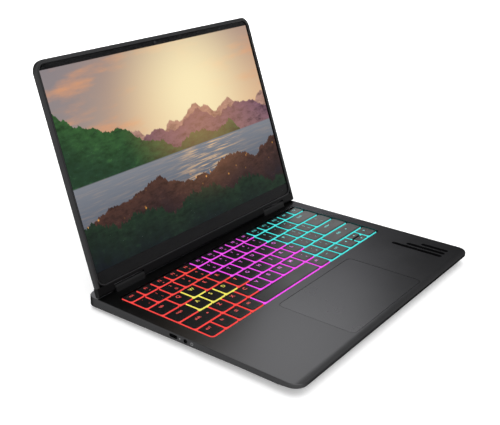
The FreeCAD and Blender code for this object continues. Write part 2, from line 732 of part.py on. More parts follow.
def cover_profile(sketch):
    """Foot, sloping front, half barrel and upright back, drawn round the hinge axis."""
    radius = reading("cover_radius")
    rise = reading("hinge_rise")
    foot = reading("cover_foot")
    y = reading("hinge_back")
    z = reading("deck_level + hinge_rise")
    reach = (foot ** 2 + rise ** 2) ** 0.5
    run = (reach ** 2 - radius ** 2) ** 0.5
    slope = Vector(foot * run - rise * radius, rise * run + foot * radius, 0) * (1 / reach ** 2)
    touch = Vector(y - foot, z - rise, 0) + slope * run
    front = Vector(y - foot, z - rise, 0)
    back = Vector(y + radius, z - rise, 0)
    shoulder = Vector(y + radius, z, 0)
    crown = Vector(y, z + radius, 0)
    base_line = sketch.addGeometry(Part.LineSegment(back, front), False)
    front_line = sketch.addGeometry(Part.LineSegment(front, touch), False)
    barrel = sketch.addGeometry(Part.Arc(touch, crown, shoulder), False)
    back_line = sketch.addGeometry(Part.LineSegment(shoulder, back), False)
    arc_start, arc_end = (2, 1)
    rules = [("Coincident", base_line, 2, front_line, 1), ("Vertical", back_line),
             ("Tangent", front_line, 2, barrel, arc_start),
             ("Tangent", barrel, arc_end, back_line, 1),
             ("Coincident", back_line, 2, base_line, 1)]
    hold(sketch, rules, [("DistanceX", "hinge_back", barrel, 3),
                         ("DistanceY", "deck_level + hinge_rise", barrel, 3),
                         ("Radius", "cover_radius", barrel),
                         ("DistanceY", "deck_level", base_line, 1),
                         ("DistanceX", "hinge_back - cover_foot", base_line, 2),
                         ("DistanceY", "deck_level", base_line, 2)])


def lid_shell():
    back = "lid_front - lid_thick"
    body = new_body()
    outline = sketch_on(body, "XZ_Plane", back)
    rounded(outline, "-lid_width / 2", "lid_width / 2", "chin_top - 20", "lid_reach", "lid_corner")
    pad(body, outline, "lid_thick")
    foot = sketch_on(body, "XZ_Plane", back + " - 1")
    rectangle(foot, "-lid_width / 2 - 1", "lid_width / 2 + 1", "chin_top - 21", "chin_top")
    pocket(body, foot, "lid_thick + 2")
    reach = reading("lid_width") / 2
    top = reading("lid_reach")
    depth = reading("lid_thick - lid_front")

    def back_rim(edge):
        box = edge.BoundBox
        outside = box.XMax > reach - 0.01 or box.XMin < 0.01 - reach or box.ZMax > top - 0.01
        return box.YMin > depth - 0.01 and outside and box.ZMax > 8

    dress(body, "Fillet", "lid_edge", back_rim)
    room = sketch_on(body, "XZ_Plane", back + " + lid_skin")
    rounded(room, "-lid_width / 2 + rim_width", "lid_width / 2 - rim_width", "chin_top - 20",
            "lid_reach - rim_width", "lid_corner - rim_width")
    pocket(body, room, "lid_thick")
    seat_on_lid(body)
    finish(body, "lid_cover")


def lid_chin():
    back = "lid_front - lid_thick"
    body = new_body()
    outline = sketch_on(body, "XZ_Plane", back)
    rectangle(outline, "-lid_width / 2", "lid_width / 2", "-lid_foot", "chin_top")
    pad(body, outline, "lid_thick")
    low = reading("lid_foot")
    dress(body, "Fillet", "chin_round",
          lambda edge: edge.BoundBox.ZMax < 0.01 - low and edge.BoundBox.XLength > 10)
    gaps = sketch_on(body, "XZ_Plane", back + " - 1")
    slots = sketch_on(body, "XZ_Plane", "-pin_radius - 0.25")
    for side, sign in sides:
        middle = "%d * hinge_middle" % sign
        rectangle(gaps, middle + " - cover_width / 2 - cover_side",
                  middle + " + cover_width / 2 + cover_side", "-lid_foot - 1", "notch_top")
        ends = ["%d * (hinge_middle - cover_width / 2 + 0.2)" % sign,
                "%d * (hinge_middle - cover_width / 2 - 13.2)" % sign]
        if sign > 0:
            ends.reverse()
        rectangle(slots, ends[0], ends[1], "-1.2", "chin_top + 1")
    pocket(body, gaps, "lid_thick + 2")
    pocket(body, slots, "leaf_thick + 0.1")
    for side, sign in sides:
        bore = sketch_on(body, "YZ_Plane", "%d * hinge_middle - cover_width / 2 - 5.2" % sign)
        ring(bore, "0", "0", "pin_radius + 0.02")
        pocket(body, bore, "cover_width + 10.4")
    seat_on_lid(body)
    finish(body, "lid_chin")


def display():
    side = "lid_width / 2 - rim_width - 0.05"
    low = "chin_top + 0.05"
    high = "lid_reach - rim_width - 0.05"
    corner = "lid_corner - rim_width - 0.05"
    glass_side = side + " - gasket_width - 0.05"
    glass_low = low + " + gasket_width + 0.05"
    glass_high = high + " - gasket_width - 0.05"
    glass_corner = corner + " - gasket_width - 0.05"
    glass_back = "glass_front - glass_thick"

    def outline(sketch, x, bottom, top, radius):
        rounded(sketch, "-(%s)" % x, x, bottom, top, radius)

    gasket = new_body()
    ring_face = sketch_on(gasket, "XZ_Plane", glass_back)
    outline(ring_face, side, low, high, corner)
    outline(ring_face, side + " - gasket_width", low + " + gasket_width",
            high + " - gasket_width", corner + " - gasket_width")
    pad(gasket, ring_face, "lid_front + gasket_proud - (%s)" % glass_back)
    seat_on_lid(gasket)
    finish(gasket, "lid_gasket")

    glass = new_body()
    pane = sketch_on(glass, "XZ_Plane", glass_back)
    outline(pane, glass_side, glass_low, glass_high, glass_corner)
    pad(glass, pane, "glass_thick")
    seat_on_lid(glass)
    finish(glass, "display_glass")

    mask = new_body()
    frame = sketch_on(mask, "XZ_Plane", glass_back + " - mask_thick")
    outline(frame, glass_side, glass_low, glass_high, glass_corner)
    rectangle(frame, "-picture_width / 2", "picture_width / 2", "picture_foot",
              "picture_foot + picture_tall")
    ring(frame, 0, "eye_level", "eye_radius + 0.1")
    pad(mask, frame, "mask_thick")
    seat_on_lid(mask)
    finish(mask, "display_mask")

    panel = new_body()
    face = sketch_on(panel, "XZ_Plane", glass_back + " - mask_thick - panel_thick")
    rectangle(face, "-picture_width / 2 - panel_margin", "picture_width / 2 + panel_margin",
              "picture_foot - panel_margin", "picture_foot + picture_tall + panel_margin")
    pad(panel, face, "panel_thick")
    seat_on_lid(panel)
    finish(panel, "display_panel")

    webcam = new_body()
    board = sketch_on(webcam, "XZ_Plane", glass_back + " - mask_thick - 1.2")
    rectangle(board, -22, 22, "eye_level - 1.8", "eye_level + 1.5")
    pad(webcam, board, "1.2")
    lens = sketch_on(webcam, "XZ_Plane", glass_back + " - mask_thick")
    ring(lens, 0, "eye_level", "eye_radius")
    pad(webcam, lens, "mask_thick - 0.05")
    seat_on_lid(webcam)
    finish(webcam, "webcam_module")


def socket(label, shell, hole, tongue, foot):
    """A port: a block with a socket in it, the tongue inside, and a foot on the board."""
    finish(joined(cut(joined(block(*shell), block(*foot)), block(*hole)), block(*tongue)), label)


def ports():
    board_top = "board_level + board_thick"
    level = "deck_level - port_drop"
    low, high = level + " - port_tall / 2", level + " + port_tall / 2"
    near, far = "port_back - port_wide / 2", "port_back + port_wide / 2"
    for side, sign in sides:
        def across(inner, outer, sign=sign):
            ends = ["%d * (base_width / 2 - %s)" % (sign, gap) for gap in (inner, outer)]
            return tuple(ends if sign > 0 else reversed(ends))

        socket("usb_c_port_" + side,
               (across(11, 1.6), (near + " - 0.5", far + " + 0.5"), (low + " - 0.1", high + " + 0.08")),
               (across(9.5, 1), (near + " + 0.3", far + " - 0.3"), (low + " + 0.3", high + " - 0.3")),
               (across(10, 3), (near + " + 1.2", far + " - 1.2"), (level + " - 0.35", level + " + 0.35")),
               (across(11, 7), (near, far), (board_top, low)))

    wall = "-base_width / 2 + 1.6"
    jack = block((wall, wall + " + 11"), ("jack_back - 3", "jack_back + 3"),
                 (level + " - 2.6", "deck_level - deck_thick - 0.05"))
    stand = block((wall + " + 5", wall + " + 11"), ("jack_back - 3", "jack_back + 3"),
                  (board_top, level + " - 2.6"))
    bore = rod(wall + " - 1", "jack_back", level, "jack_radius", "11.4", to_right)
    finish(cut(joined(jack, stand), bore), "audio_jack")

    for label, middle, wide, tall in rear_ports:
        half = wide / 2
        bottom, top = "rear_port_level - %s" % (tall / 2), "rear_port_level + %s" % (tall / 2)
        depth = "base_depth - "
        socket(label,
               ((middle - half - 0.6, middle + half + 0.6), (depth + "13", depth + "1.6"),
                (bottom + " - 0.5", top + " + 0.5")),
               ((middle - half + 0.2, middle + half - 0.2), (depth + "12", depth + "1"),
                (bottom + " + 0.2", top + " - 0.2")),
               ((middle - half + 1.3, middle + half - 1.3), (depth + "12.5", depth + "3"),
                ("rear_port_level - 0.4", "rear_port_level + 0.4")),
               ((middle - half, middle + half), (depth + "13", depth + "9"),
                (board_top, bottom + " - 0.4")))


def electronics():
    board_top = "board_level + board_thick"
    board = new_body()
    outline = sketch_on(board, "XY_Plane", "board_level")
    polygon(outline, [(-64, 97), (-64, 92), (64, 92), (64, 97), (147.5, 97), (147.5, 142), (66, 142),
                      (66, 224), (-66, 224), (-66, 142), (-147.5, 142), (-147.5, 97)])
    pad(board, outline, "board_thick")
    seat_on_base(board)
    finish(board, "motherboard")

    chip_top = board_top + " + chip_thick"
    chips = [block((x - wide / 2, x + wide / 2), (y - deep / 2, y + deep / 2), (board_top, chip_top))
             for x, y, wide, deep in [(-26, 152, 30, 26), (26, 152, 30, 30), (-30, 178, 14, 10),
                                      (-12, 178, 14, 10), (12, 180, 14, 10), (30, 180, 14, 10)]]
    finish(group(chips), "processor_chips")

    card = block((-44, 36), (101, 123), (board_top + " + 0.4", board_top + " + 1.2"))
    slot = block((36, 42), (102, 122), (board_top, board_top + " + 1.8"))
    memory = [block((x, x + 16), (104, 120), (board_top + " + 1.2", board_top + " + 2.2"))
              for x in (-38, -16, 8)]
    finish(joined(card, slot, *memory), "drive_card")

    # the pipes cross both chips and bend back to the fins at either side
    pipes = new_body()
    run = sketch_on(pipes, "XY_Plane", chip_top)
    polygon(run, [(-67, 146), (67, 146), (72, 151), (72, 206), (130, 206), (130, 214.5),
                  (67, 214.5), (67, 158), (-67, 158), (-67, 214.5), (-130, 214.5), (-130, 206),
                  (-72, 206), (-72, 151)])
    pad(pipes, run, "pipe_thick")
    seat_on_base(pipes)
    finish(pipes, "heat_pipes")

    cells = [block((x, x + 50), (25, 87), ("belly_level + belly_thick + 0.3", "deck_level - 4.8"))
             for x in (-104, -52, 2, 54)]
    strip = block((-104, 104), (87, 90), ("belly_level + belly_thick + 0.3", "deck_level - 6"))
    finish(joined(strip, *cells), "battery_pack")

    for side, sign in sides:
        body = new_body()
        ends = (110, 136) if sign > 0 else (-136, -110)
        case = sketch_on(body, "XY_Plane", "belly_level + belly_thick + 0.3")
        rounded(case, str(ends[0]), str(ends[1]), "34", "86", "4")
        pad(body, case, "5")
        cone = sketch_on(body, "XY_Plane", "belly_level + belly_thick")
        rounded(cone, str(ends[0] + 4), str(ends[1] - 4), "46", "64", "6")
        pocket(body, cone, "1.2")
        seat_on_base(body)
        finish(body, "speaker_" + side)


def cooling():
    for side, sign in sides:
        axis = "%d * fan_side" % sign
        floor = "fan_level + fan_floor"
        housing = new_body()
        case = sketch_on(housing, "XY_Plane", "fan_level")
        rounded(case, axis + " - 30", axis + " + 30", "fan_back - 29", "fan_back + 24", "8")
        pad(housing, case, "fan_tall")
        chamber = sketch_on(housing, "XY_Plane", floor)
        ring(chamber, axis, "fan_back", "fan_room")
        pocket(housing, chamber, "fan_tall")
        outlet = sketch_on(housing, "XY_Plane", floor)
        rectangle(outlet, axis + " - 22", axis + " + 22", "fan_back", "fan_back + 30")
        pocket(housing, outlet, "fan_tall")
        intake = sketch_on(housing, "XY_Plane", "fan_level - 1")
        for turn in range(3):
            spoke = [(0, 14.5), (12.6, -7.25), (-12.6, -7.25)][turn]
            ring(intake, "%s + %s" % (axis, spoke[0]), "fan_back + %s" % spoke[1], "7")
        pocket(housing, intake, "fan_floor + 2")
        axle = sketch_on(housing, "XY_Plane", "fan_level")
        ring(axle, axis, "fan_back", "axle_radius")
        pad(housing, axle, "fan_tall - 0.4")
        seat_on_base(housing)
        finish(housing, "fan_housing_" + side)

        # the rotor is drawn round its own axis
        rotor = new_body()
        hub = sketch_on(rotor, "XY_Plane", "0")
        ring(hub, 0, 0, "hub_radius")
        pad(rotor, hub, "2.8")
        blade = sketch_on(rotor, "XY_Plane", "0.2")
        polygon(blade, [("hub_radius - 0.6", -0.5), ("rotor_radius - 0.5", -4.6),
                        ("rotor_radius - 0.5", -3.8), ("hub_radius - 0.6", 0.5)])
        first = pad(rotor, blade, "2.4")
        around = rotor.newObject("PartDesign::PolarPattern", "blades")
        around.Originals = [first]
        around.Axis = (hub, ["N_Axis"])
        around.Angle = 360
        around.Occurrences = 23
        rotor.Tip = around
        bore = sketch_on(rotor, "XY_Plane", "-1")
        ring(bore, 0, 0, "axle_radius + fit_gap")
        pocket(rotor, bore, "5")
        seat_on_base(rotor, axis, "fan_back", floor + " + 0.35")
        finish(rotor, "fan_rotor_" + side)

        fins = new_body()
        ends = (74.5, 133.5) if sign > 0 else (-133.5, -74.5)
        stack = sketch_on(fins, "XY_Plane", "fan_level + 0.5")
        rectangle(stack, ends[0], ends[1], 214.5, 229)
        pad(fins, stack, "6")
        gap = sketch_on(fins, "XZ_Plane", "-231")
        start = "vent_side" if sign > 0 else "-vent_side - vent_span - vent_wide"
        rectangle(gap, start, start + " + vent_wide", "fan_level + 1", "fan_level + 6")
        repeat(fins, pocket(fins, gap, "18"), [("X_Axis", "vent_span", 14)], mirror=False)
        seat_on_base(fins)
        finish(fins, "fin_stack_" + side)


top_cover()
bottom_cover()
bottom_screws()
feet()
keys()
keyboard_plate()
touchpad()
hinges()
lid_shell()
lid_chin()
display()
ports()
electronics()
cooling()
doc.recompute()

for thing in doc.Objects:
    if "Invalid" in thing.State or "Error" in thing.State:
        raise SystemExit("not built: %s %s" % (thing.Label, thing.State))

os.makedirs("parts", exist_ok=True)
for thing in nodes:
    shape = thing.Shape
    if shape.isNull() or not shape.isValid():
        raise SystemExit("bad shape: " + thing.Label)
    shape.exportStep("parts/%s.step" % thing.Label)
    print("%-20s solids %2d  volume %10.1f" % (thing.Label, len(shape.Solids), shape.Volume))
print(len(nodes), "nodes")
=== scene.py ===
import math
import bmesh
import bpy
from mathutils import Matrix, Vector


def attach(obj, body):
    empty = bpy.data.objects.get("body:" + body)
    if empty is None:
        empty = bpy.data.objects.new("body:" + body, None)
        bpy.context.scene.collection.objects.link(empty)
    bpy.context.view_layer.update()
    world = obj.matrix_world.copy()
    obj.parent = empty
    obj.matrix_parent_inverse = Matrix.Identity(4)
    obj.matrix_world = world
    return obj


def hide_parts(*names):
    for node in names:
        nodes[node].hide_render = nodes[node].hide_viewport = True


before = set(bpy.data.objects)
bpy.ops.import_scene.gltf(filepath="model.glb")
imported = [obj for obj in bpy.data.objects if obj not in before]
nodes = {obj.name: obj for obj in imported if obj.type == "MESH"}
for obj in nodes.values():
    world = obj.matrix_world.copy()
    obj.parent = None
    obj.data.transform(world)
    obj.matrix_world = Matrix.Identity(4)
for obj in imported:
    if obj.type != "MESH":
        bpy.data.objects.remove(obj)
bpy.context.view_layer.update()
mm = 0.001
# the base in mm: front edge, depth, half its width, deck above the desk
base = {"front": -146.13, "depth": 233.5, "half": 156.5, "deck": 12.2}
# the part of a noise that drives a colour, and the part that drives the gloss
tintBand, glossBand = (0.35, 0.65), (0.3, 0.7)
print("frame loaded:", len(nodes), "nodes")


# shader helpers; this one turns a screen shade of 0 to 255 into linear light
def toLinear(shade):
    return tuple((c / 255 / 12.92) if c < 11 else ((c / 255 + 0.055) / 1.055) ** 2.4
                 for c in shade)


def newFinish(name):
    finish = bpy.data.materials.new(name)
    finish.use_nodes = True
    return finish, finish.node_tree, finish.node_tree.nodes["Principled BSDF"]


def feed(tree, value, socket):
    if isinstance(value, bpy.types.NodeSocket):
        tree.links.new(value, socket)
    else:
        socket.default_value = value


def sums(tree, operation, first, second=0.0, third=0.0, clamp=False):
    node = tree.nodes.new("ShaderNodeMath")
    node.operation = operation
    node.use_clamp = clamp
    for socket, value in zip(node.inputs, (first, second, third)):
        feed(tree, value, socket)
    return node.outputs[0]


def product(tree, first, second):
    return sums(tree, "MULTIPLY", first, second)


def gap(tree, first, second):
    return sums(tree, "SUBTRACT", first, second)


def lengthOf(tree, x, y):
    return sums(tree, "SQRT", sums(tree, "MULTIPLY_ADD", x, x, product(tree, y, y)))


def blendOf(tree, share, first, second):
    node = tree.nodes.new("ShaderNodeMix")
    node.data_type = "RGBA"
    feed(tree, share, node.inputs["Factor"])
    for socket, value in ((node.inputs[6], first), (node.inputs[7], second)):
        feed(tree, value if isinstance(value, bpy.types.NodeSocket) else (*value, 1), socket)
    return node.outputs[2]


def spread(tree, value, low, high, newLow, newHigh, smooth=False):
    node = tree.nodes.new("ShaderNodeMapRange")
    node.interpolation_type = "SMOOTHSTEP" if smooth else "LINEAR"
    for socket, amount in zip(node.inputs, (value, low, high, newLow, newHigh)):
        feed(tree, amount, socket)
    return node.outputs[0]


def placeOf(tree, stretch=(1, 1, 1)):
    where = tree.nodes.new("ShaderNodeTexCoord")
    mapping = tree.nodes.new("ShaderNodeMapping")
    mapping.inputs["Scale"].default_value = stretch
    tree.links.new(where.outputs["Object"], mapping.inputs["Vector"])
    return mapping.outputs[0]


def axesOf(tree, where):
    parts = tree.nodes.new("ShaderNodeSeparateXYZ")
    tree.links.new(where, parts.inputs[0])
    return parts.outputs


def pointAt(tree, x, y, z=0.0):
    node = tree.nodes.new("ShaderNodeCombineXYZ")
    for socket, value in zip(node.inputs, (x, y, z)):
        feed(tree, value, socket)
    return node.outputs[0]


def noiseAt(tree, where, scale, detail=2.0, rough=0.5):
    noise = tree.nodes.new("ShaderNodeTexNoise")
    noise.inputs["Scale"].default_value = scale
    noise.inputs["Detail"].default_value = detail
    noise.inputs["Roughness"].default_value = rough
    tree.links.new(where, noise.inputs["Vector"])
    return noise.outputs["Fac"]


def bumpFrom(tree, height, shader, strength, depth):
    bump = tree.nodes.new("ShaderNodeBump")
    bump.inputs["Strength"].default_value = strength
    bump.inputs["Distance"].default_value = depth
    tree.links.new(height, bump.inputs["Height"])
    tree.links.new(bump.outputs[0], shader.inputs["Normal"])


# a grained surface: clouded colour, fine grain in the relief, uneven gloss
plainLook = {"stretch": (1, 1, 1), "cloud": 35, "cloudDetail": 3, "grain": 2600,
             "grainShare": 0.5, "vary": 0.1, "swing": 0.05, "metal": 0, "specular": 0.5,
             "edgeTint": 1, "relief": 0.15, "depth": 0.00004}


def grained(name, look):
    look = {**plainLook, **look}
    finish, tree, shader = newFinish(name)
    where = placeOf(tree, look["stretch"])
    cloud = noiseAt(tree, where, look["cloud"], look["cloudDetail"])
    grain = noiseAt(tree, where, look["grain"])
    share = look["grainShare"]
    mixed = sums(tree, "MULTIPLY_ADD", grain, share, product(tree, cloud, 1 - share))
    darker = tuple(c * (1 - look["vary"]) for c in look["colour"])
    lighter = tuple(c * (1 + look["vary"]) for c in look["colour"])
    tint = blendOf(tree, spread(tree, mixed, *tintBand, 0, 1), darker, lighter)
    tree.links.new(tint, shader.inputs["Base Color"])
    smooth, coarse = look["rough"] - look["swing"], look["rough"] + look["swing"]
    tree.links.new(spread(tree, cloud, *glossBand, smooth, coarse), shader.inputs["Roughness"])
    shader.inputs["Metallic"].default_value = look["metal"]
    shader.inputs["Specular IOR Level"].default_value = look["specular"]
    shader.inputs["Specular Tint"].default_value = (*[look["edgeTint"]] * 3, 1)
    bumpFrom(tree, grain, shader, look["relief"], look["depth"])
    return finish


def dressNode(name, finish):
    node = nodes[name]
    node.data.materials.clear()
    node.data.materials.append(finish)


# finishes of the carried-over pieces, each with the nodes that wear it
finishLooks = {
    "deckMetal": {"nodes": ["top_cover"], "colour": (0.048, 0.048, 0.0492), "rough": 0.3,
                  "swing": 0.012, "metal": 1.0, "edgeTint": 0.27, "grain": 2400, "relief": 0.02,
                  "vary": 0.05},
    "lidMetal": {"nodes": ["lid_cover"], "colour": (0.043, 0.043, 0.0442), "rough": 0.38,
                 "swing": 0.01, "metal": 1.0, "edgeTint": 0.35, "grain": 2400, "relief": 0.04,
                 "vary": 0.05},
    "bellyMetal": {"nodes": ["bottom_cover"], "colour": (0.05, 0.05, 0.052), "rough": 0.5,
                   "metal": 1.0, "edgeTint": 0.4, "grain": 1800},
    "touchSurface": {"nodes": ["touchpad"], "colour": (0.048, 0.048, 0.0492), "rough": 0.28,
                     "swing": 0.01, "metal": 1.0, "edgeTint": 0.27, "grain": 3600, "relief": 0.0,
                     "vary": 0.04},
    "hingePlastic": {"nodes": ["hinge_cover_left", "hinge_cover_right"],
                     "colour": (0.006, 0.006, 0.0064), "rough": 0.42, "grain": 1500,
                     "relief": 0.12, "specular": 0.1},
    "chinPlastic": {"nodes": ["lid_chin"], "colour": (0.0025, 0.0025, 0.0028), "rough": 0.45,
                    "grain": 1500, "relief": 0.12, "specular": 0.05},
    "hingeSteel": {"nodes": ["hinge_bracket_left", "hinge_bracket_right", "hinge_arm_left",
                             "hinge_arm_right", "bottom_screws"],
                   "colour": (0.09, 0.09, 0.093), "rough": 0.38, "metal": 1.0,
                   "stretch": (0.08, 1, 1), "grain": 3000},
    "footRubber": {"nodes": ["front_foot", "rear_foot"], "colour": (0.012, 0.012, 0.012),
                   "rough": 0.75, "grain": 1200, "relief": 0.4},
    "gasketRubber": {"nodes": ["lid_gasket"], "colour": (0.011, 0.011, 0.012), "rough": 0.6,
                     "grain": 1500, "relief": 0.2, "specular": 0.3},
    "maskPrint": {"nodes": ["display_mask"], "colour": (0.003, 0.003, 0.0035), "rough": 0.07,
                  "swing": 0.02, "grain": 900, "relief": 0.0, "specular": 0.1},
    "plateMetal": {"nodes": ["keyboard_plate", "touchpad_frame"], "colour": (0.1, 0.1, 0.105),
                   "rough": 0.5, "metal": 1.0, "stretch": (1, 0.1, 1), "grain": 2000},
    "domeFilm": {"nodes": ["dome_sheet"], "colour": (0.012, 0.012, 0.013), "rough": 0.5,
                 "grain": 900, "relief": 0.1},
    "portMetal": {"nodes": ["usb_c_port_left", "usb_c_port_right", "rear_usb_c_port",
                            "rear_usb_a_port", "hdmi_port"],
                  "colour": (0.14, 0.14, 0.145), "rough": 0.32, "metal": 1.0,
                  "stretch": (1, 1, 0.1), "grain": 3000},
    "portPlastic": {"nodes": ["audio_jack"], "colour": (0.012, 0.012, 0.012), "rough": 0.5,
                    "grain": 1500},
    "copperPipe": {"nodes": ["heat_pipes"], "colour": (0.62, 0.3, 0.17), "rough": 0.3,
                   "metal": 1.0, "stretch": (0.2, 1, 1), "cloud": 90},
    "finMetal": {"nodes": ["fin_stack_left", "fin_stack_right"], "colour": (0.5, 0.46, 0.42),
                 "rough": 0.35, "metal": 1.0, "stretch": (1, 1, 0.15), "grain": 2500},
    "fanPlastic": {"nodes": ["fan_housing_left", "fan_housing_right", "fan_rotor_left",
                             "fan_rotor_right"],
                   "colour": (0.015, 0.015, 0.016), "rough": 0.5, "grain": 1500},
    "cellWrap": {"nodes": ["battery_pack"], "colour": (0.018, 0.018, 0.02), "rough": 0.4,
                 "grain": 700, "relief": 0.25, "cloud": 60},
    "speakerPlastic": {"nodes": ["speaker_left", "speaker_right"],
                       "colour": (0.014, 0.014, 0.015), "rough": 0.55, "grain": 1400},
    "chipResin": {"nodes": ["processor_chips"], "colour": (0.02, 0.02, 0.022), "rough": 0.3,
                  "grain": 2200},
    "lensHouse": {"nodes": ["webcam_module"], "colour": (0.006, 0.006, 0.007), "rough": 0.15,
                  "grain": 900, "relief": 0.02},
}
finishes = {}
for name, look in finishLooks.items():
    finishes[name] = grained(name, look)
    for member in look["nodes"]:
        dressNode(member, finishes[name])

# pale rings printed on the left wall beside the sockets:
# from the front edge, height, radius, half the line
wallMarks = {"rings": [(105.6, 9.2, 1.15, 0.16), (118.9, 9.2, 0.5, 0.16)], "wall": -156.2,
             "fade": 1.5, "ink": (0.26, 0.26, 0.265)}


def printRings(finish, look):
    tree = finish.node_tree
    shader = tree.nodes["Principled BSDF"]
    place = axesOf(tree, placeOf(tree))
    outside = sums(tree, "LESS_THAN", place["X"], look["wall"] * mm)
    colour = shader.inputs["Base Color"].links[0].from_socket
    for y, z, radius, line in look["rings"]:
        away = lengthOf(tree, gap(tree, place["Y"], (base["front"] + y) * mm),
                        gap(tree, place["Z"], z * mm))
        off = sums(tree, "ABSOLUTE", gap(tree, away, radius * mm))
        ring = spread(tree, off, line * mm, line * look["fade"] * mm, 1, 0)
        colour = blendOf(tree, product(tree, ring, outside), colour, look["ink"])
    tree.links.new(colour, shader.inputs["Base Color"])


printRings(finishes["deckMetal"], wallMarks)

# boards: solder mask over a net of copper tracks
boardLook = {"nodes": ["motherboard", "drive_card"], "mask": (0.008, 0.03, 0.018),
             "track": (0.015, 0.07, 0.035), "rough": (0.3, 0.45), "net": 260, "line": (0.02, 0.09),
             "cloud": 300, "relief": 0.3, "depth": 0.00005}


def trackedBoard(look):
    finish, tree, shader = newFinish("solderMask")
    where = placeOf(tree)
    cells = tree.nodes.new("ShaderNodeTexVoronoi")
    cells.feature = "DISTANCE_TO_EDGE"
    cells.distance = "EUCLIDEAN"
    cells.inputs["Scale"].default_value = look["net"]
    tree.links.new(where, cells.inputs["Vector"])
    line = spread(tree, cells.outputs["Distance"], *look["line"], 1, 0)
    tree.links.new(blendOf(tree, line, look["mask"], look["track"]), shader.inputs["Base Color"])
    cloud = noiseAt(tree, where, look["cloud"])
    tree.links.new(spread(tree, cloud, *glossBand, *look["rough"]), shader.inputs["Roughness"])
    bumpFrom(tree, line, shader, look["relief"], look["depth"])
    return finish


solderMask = trackedBoard(boardLook)
for member in boardLook["nodes"]:
    dressNode(member, solderMask)
print("finishes on the carried-over pieces")

# cover glass: clear and coated against glare; the gloss comes from the mask and panel behind it
glassLook = {"clear": 0.015, "tint": (0.001, 0.0011, 0.0013), "rough": (0.1, 0.16),
             "smears": (24, 4), "smearBand": (0.4, 0.8), "specular": 0.0}


def coverGlass(look):
    finish, tree, shader = newFinish("coverGlass")
    smears = noiseAt(tree, placeOf(tree), *look["smears"])
    gloss = spread(tree, smears, *look["smearBand"], *look["rough"])
    tree.links.new(gloss, shader.inputs["Roughness"])
    shader.inputs["Base Color"].default_value = (*look["tint"], 1)
    shader.inputs["Alpha"].default_value = look["clear"]
    shader.inputs["Specular IOR Level"].default_value = look["specular"]
    return finish


dressNode("display_glass", coverGlass(glassLook))

# lit picture: a lake between hills at dusk, built up from the sky forward
# heights and places are shares of the picture; a noise is its scale, detail and roughness
pictureLook = {
    "aspect": 0.625, "panel": (0.004, 0.004, 0.005), "rough": 0.08, "specular": 0.05,
    "shades": {"skyLow": (232, 190, 146), "skyHigh": (176, 148, 132), "skyFar": (128, 126, 134),
               "sunLight": (255, 238, 190), "cloud": (224, 158, 112), "lamp": (255, 178, 84),
               "lakeFar": (126, 130, 138), "lakeNear": (44, 58, 80), "glint": (246, 200, 146)},
    "skyBand": (0.45, 1.0), "farBand": (0.45, 0.0), "farShare": 0.8,
    "drift": (2.2, 5.5), "driftNoise": (1.6, 6, 0.55), "cloudBand": (0.48, 0.72),
    "cloudShare": 0.75,
    "sunAt": (0.62, 0.70), "sunReach": (0.42, 0.02), "sunShare": 0.95,
    "warmReach": (0.40, 0.05), "warmShare": 0.35,
    "shore": 0.42, "shoreSoft": 0.006, "lakeFoot": 0.05,
    "ripple": (9, 90), "rippleNoise": (1.0, 4, 0.6), "rippleBand": (0.45, 0.68),
    "column": (0.24, 0.0), "shine": (0.08, 0.85),
    "wanderNoise": (2.0, 7, 0.52), "swingGain": 4, "spires": 95, "spireNoise": (1.0, 3, 0.7),
    "jagGain": 2, "footFall": 0.22, "patch": (18, 24), "patchNoise": (1.5, 6, 0.68),
    "shadeBand": (0.46, 0.66), "shadeShare": 0.8, "shadeDeep": 0.28,
    "litBand": (0.42, 0.3), "litShare": 0.4, "litGain": 1.9,
    "lampNet": 26, "lampStretch": 1.6, "lampPick": 0.62, "lampSize": 0.30, "lampFall": 2.2,
    "lampBand": (0.16, 0.31), "lampEdge": 0.05,
    # from far to near: height, swing, lean, waves across, jag, seed, softness,
    # colour at the top, colour at the foot
    "ridges": [
        (0.60, 0.09, 0.0, 3.0, 0.0, 1.7, 0.010, (172, 134, 122), (194, 152, 128)),
        (0.54, 0.13, 0.05, 2.3, 0.0, 6.2, 0.007, (118, 84, 100), (144, 108, 108)),
        (0.50, 0.16, 0.42, 1.7, 0.018, 3.1, 0.004, (52, 92, 46), (34, 62, 40)),
    ],
    "lampBank": (0.27, 0.13, -0.12, 1.5, 0.02, 8.4, 0.004, (78, 50, 40), (34, 26, 32)),
    "nearBank": (0.10, 0.10, 0.10, 2.6, 0.05, 4.6, 0.004, (30, 50, 32), (12, 17, 26)),
}


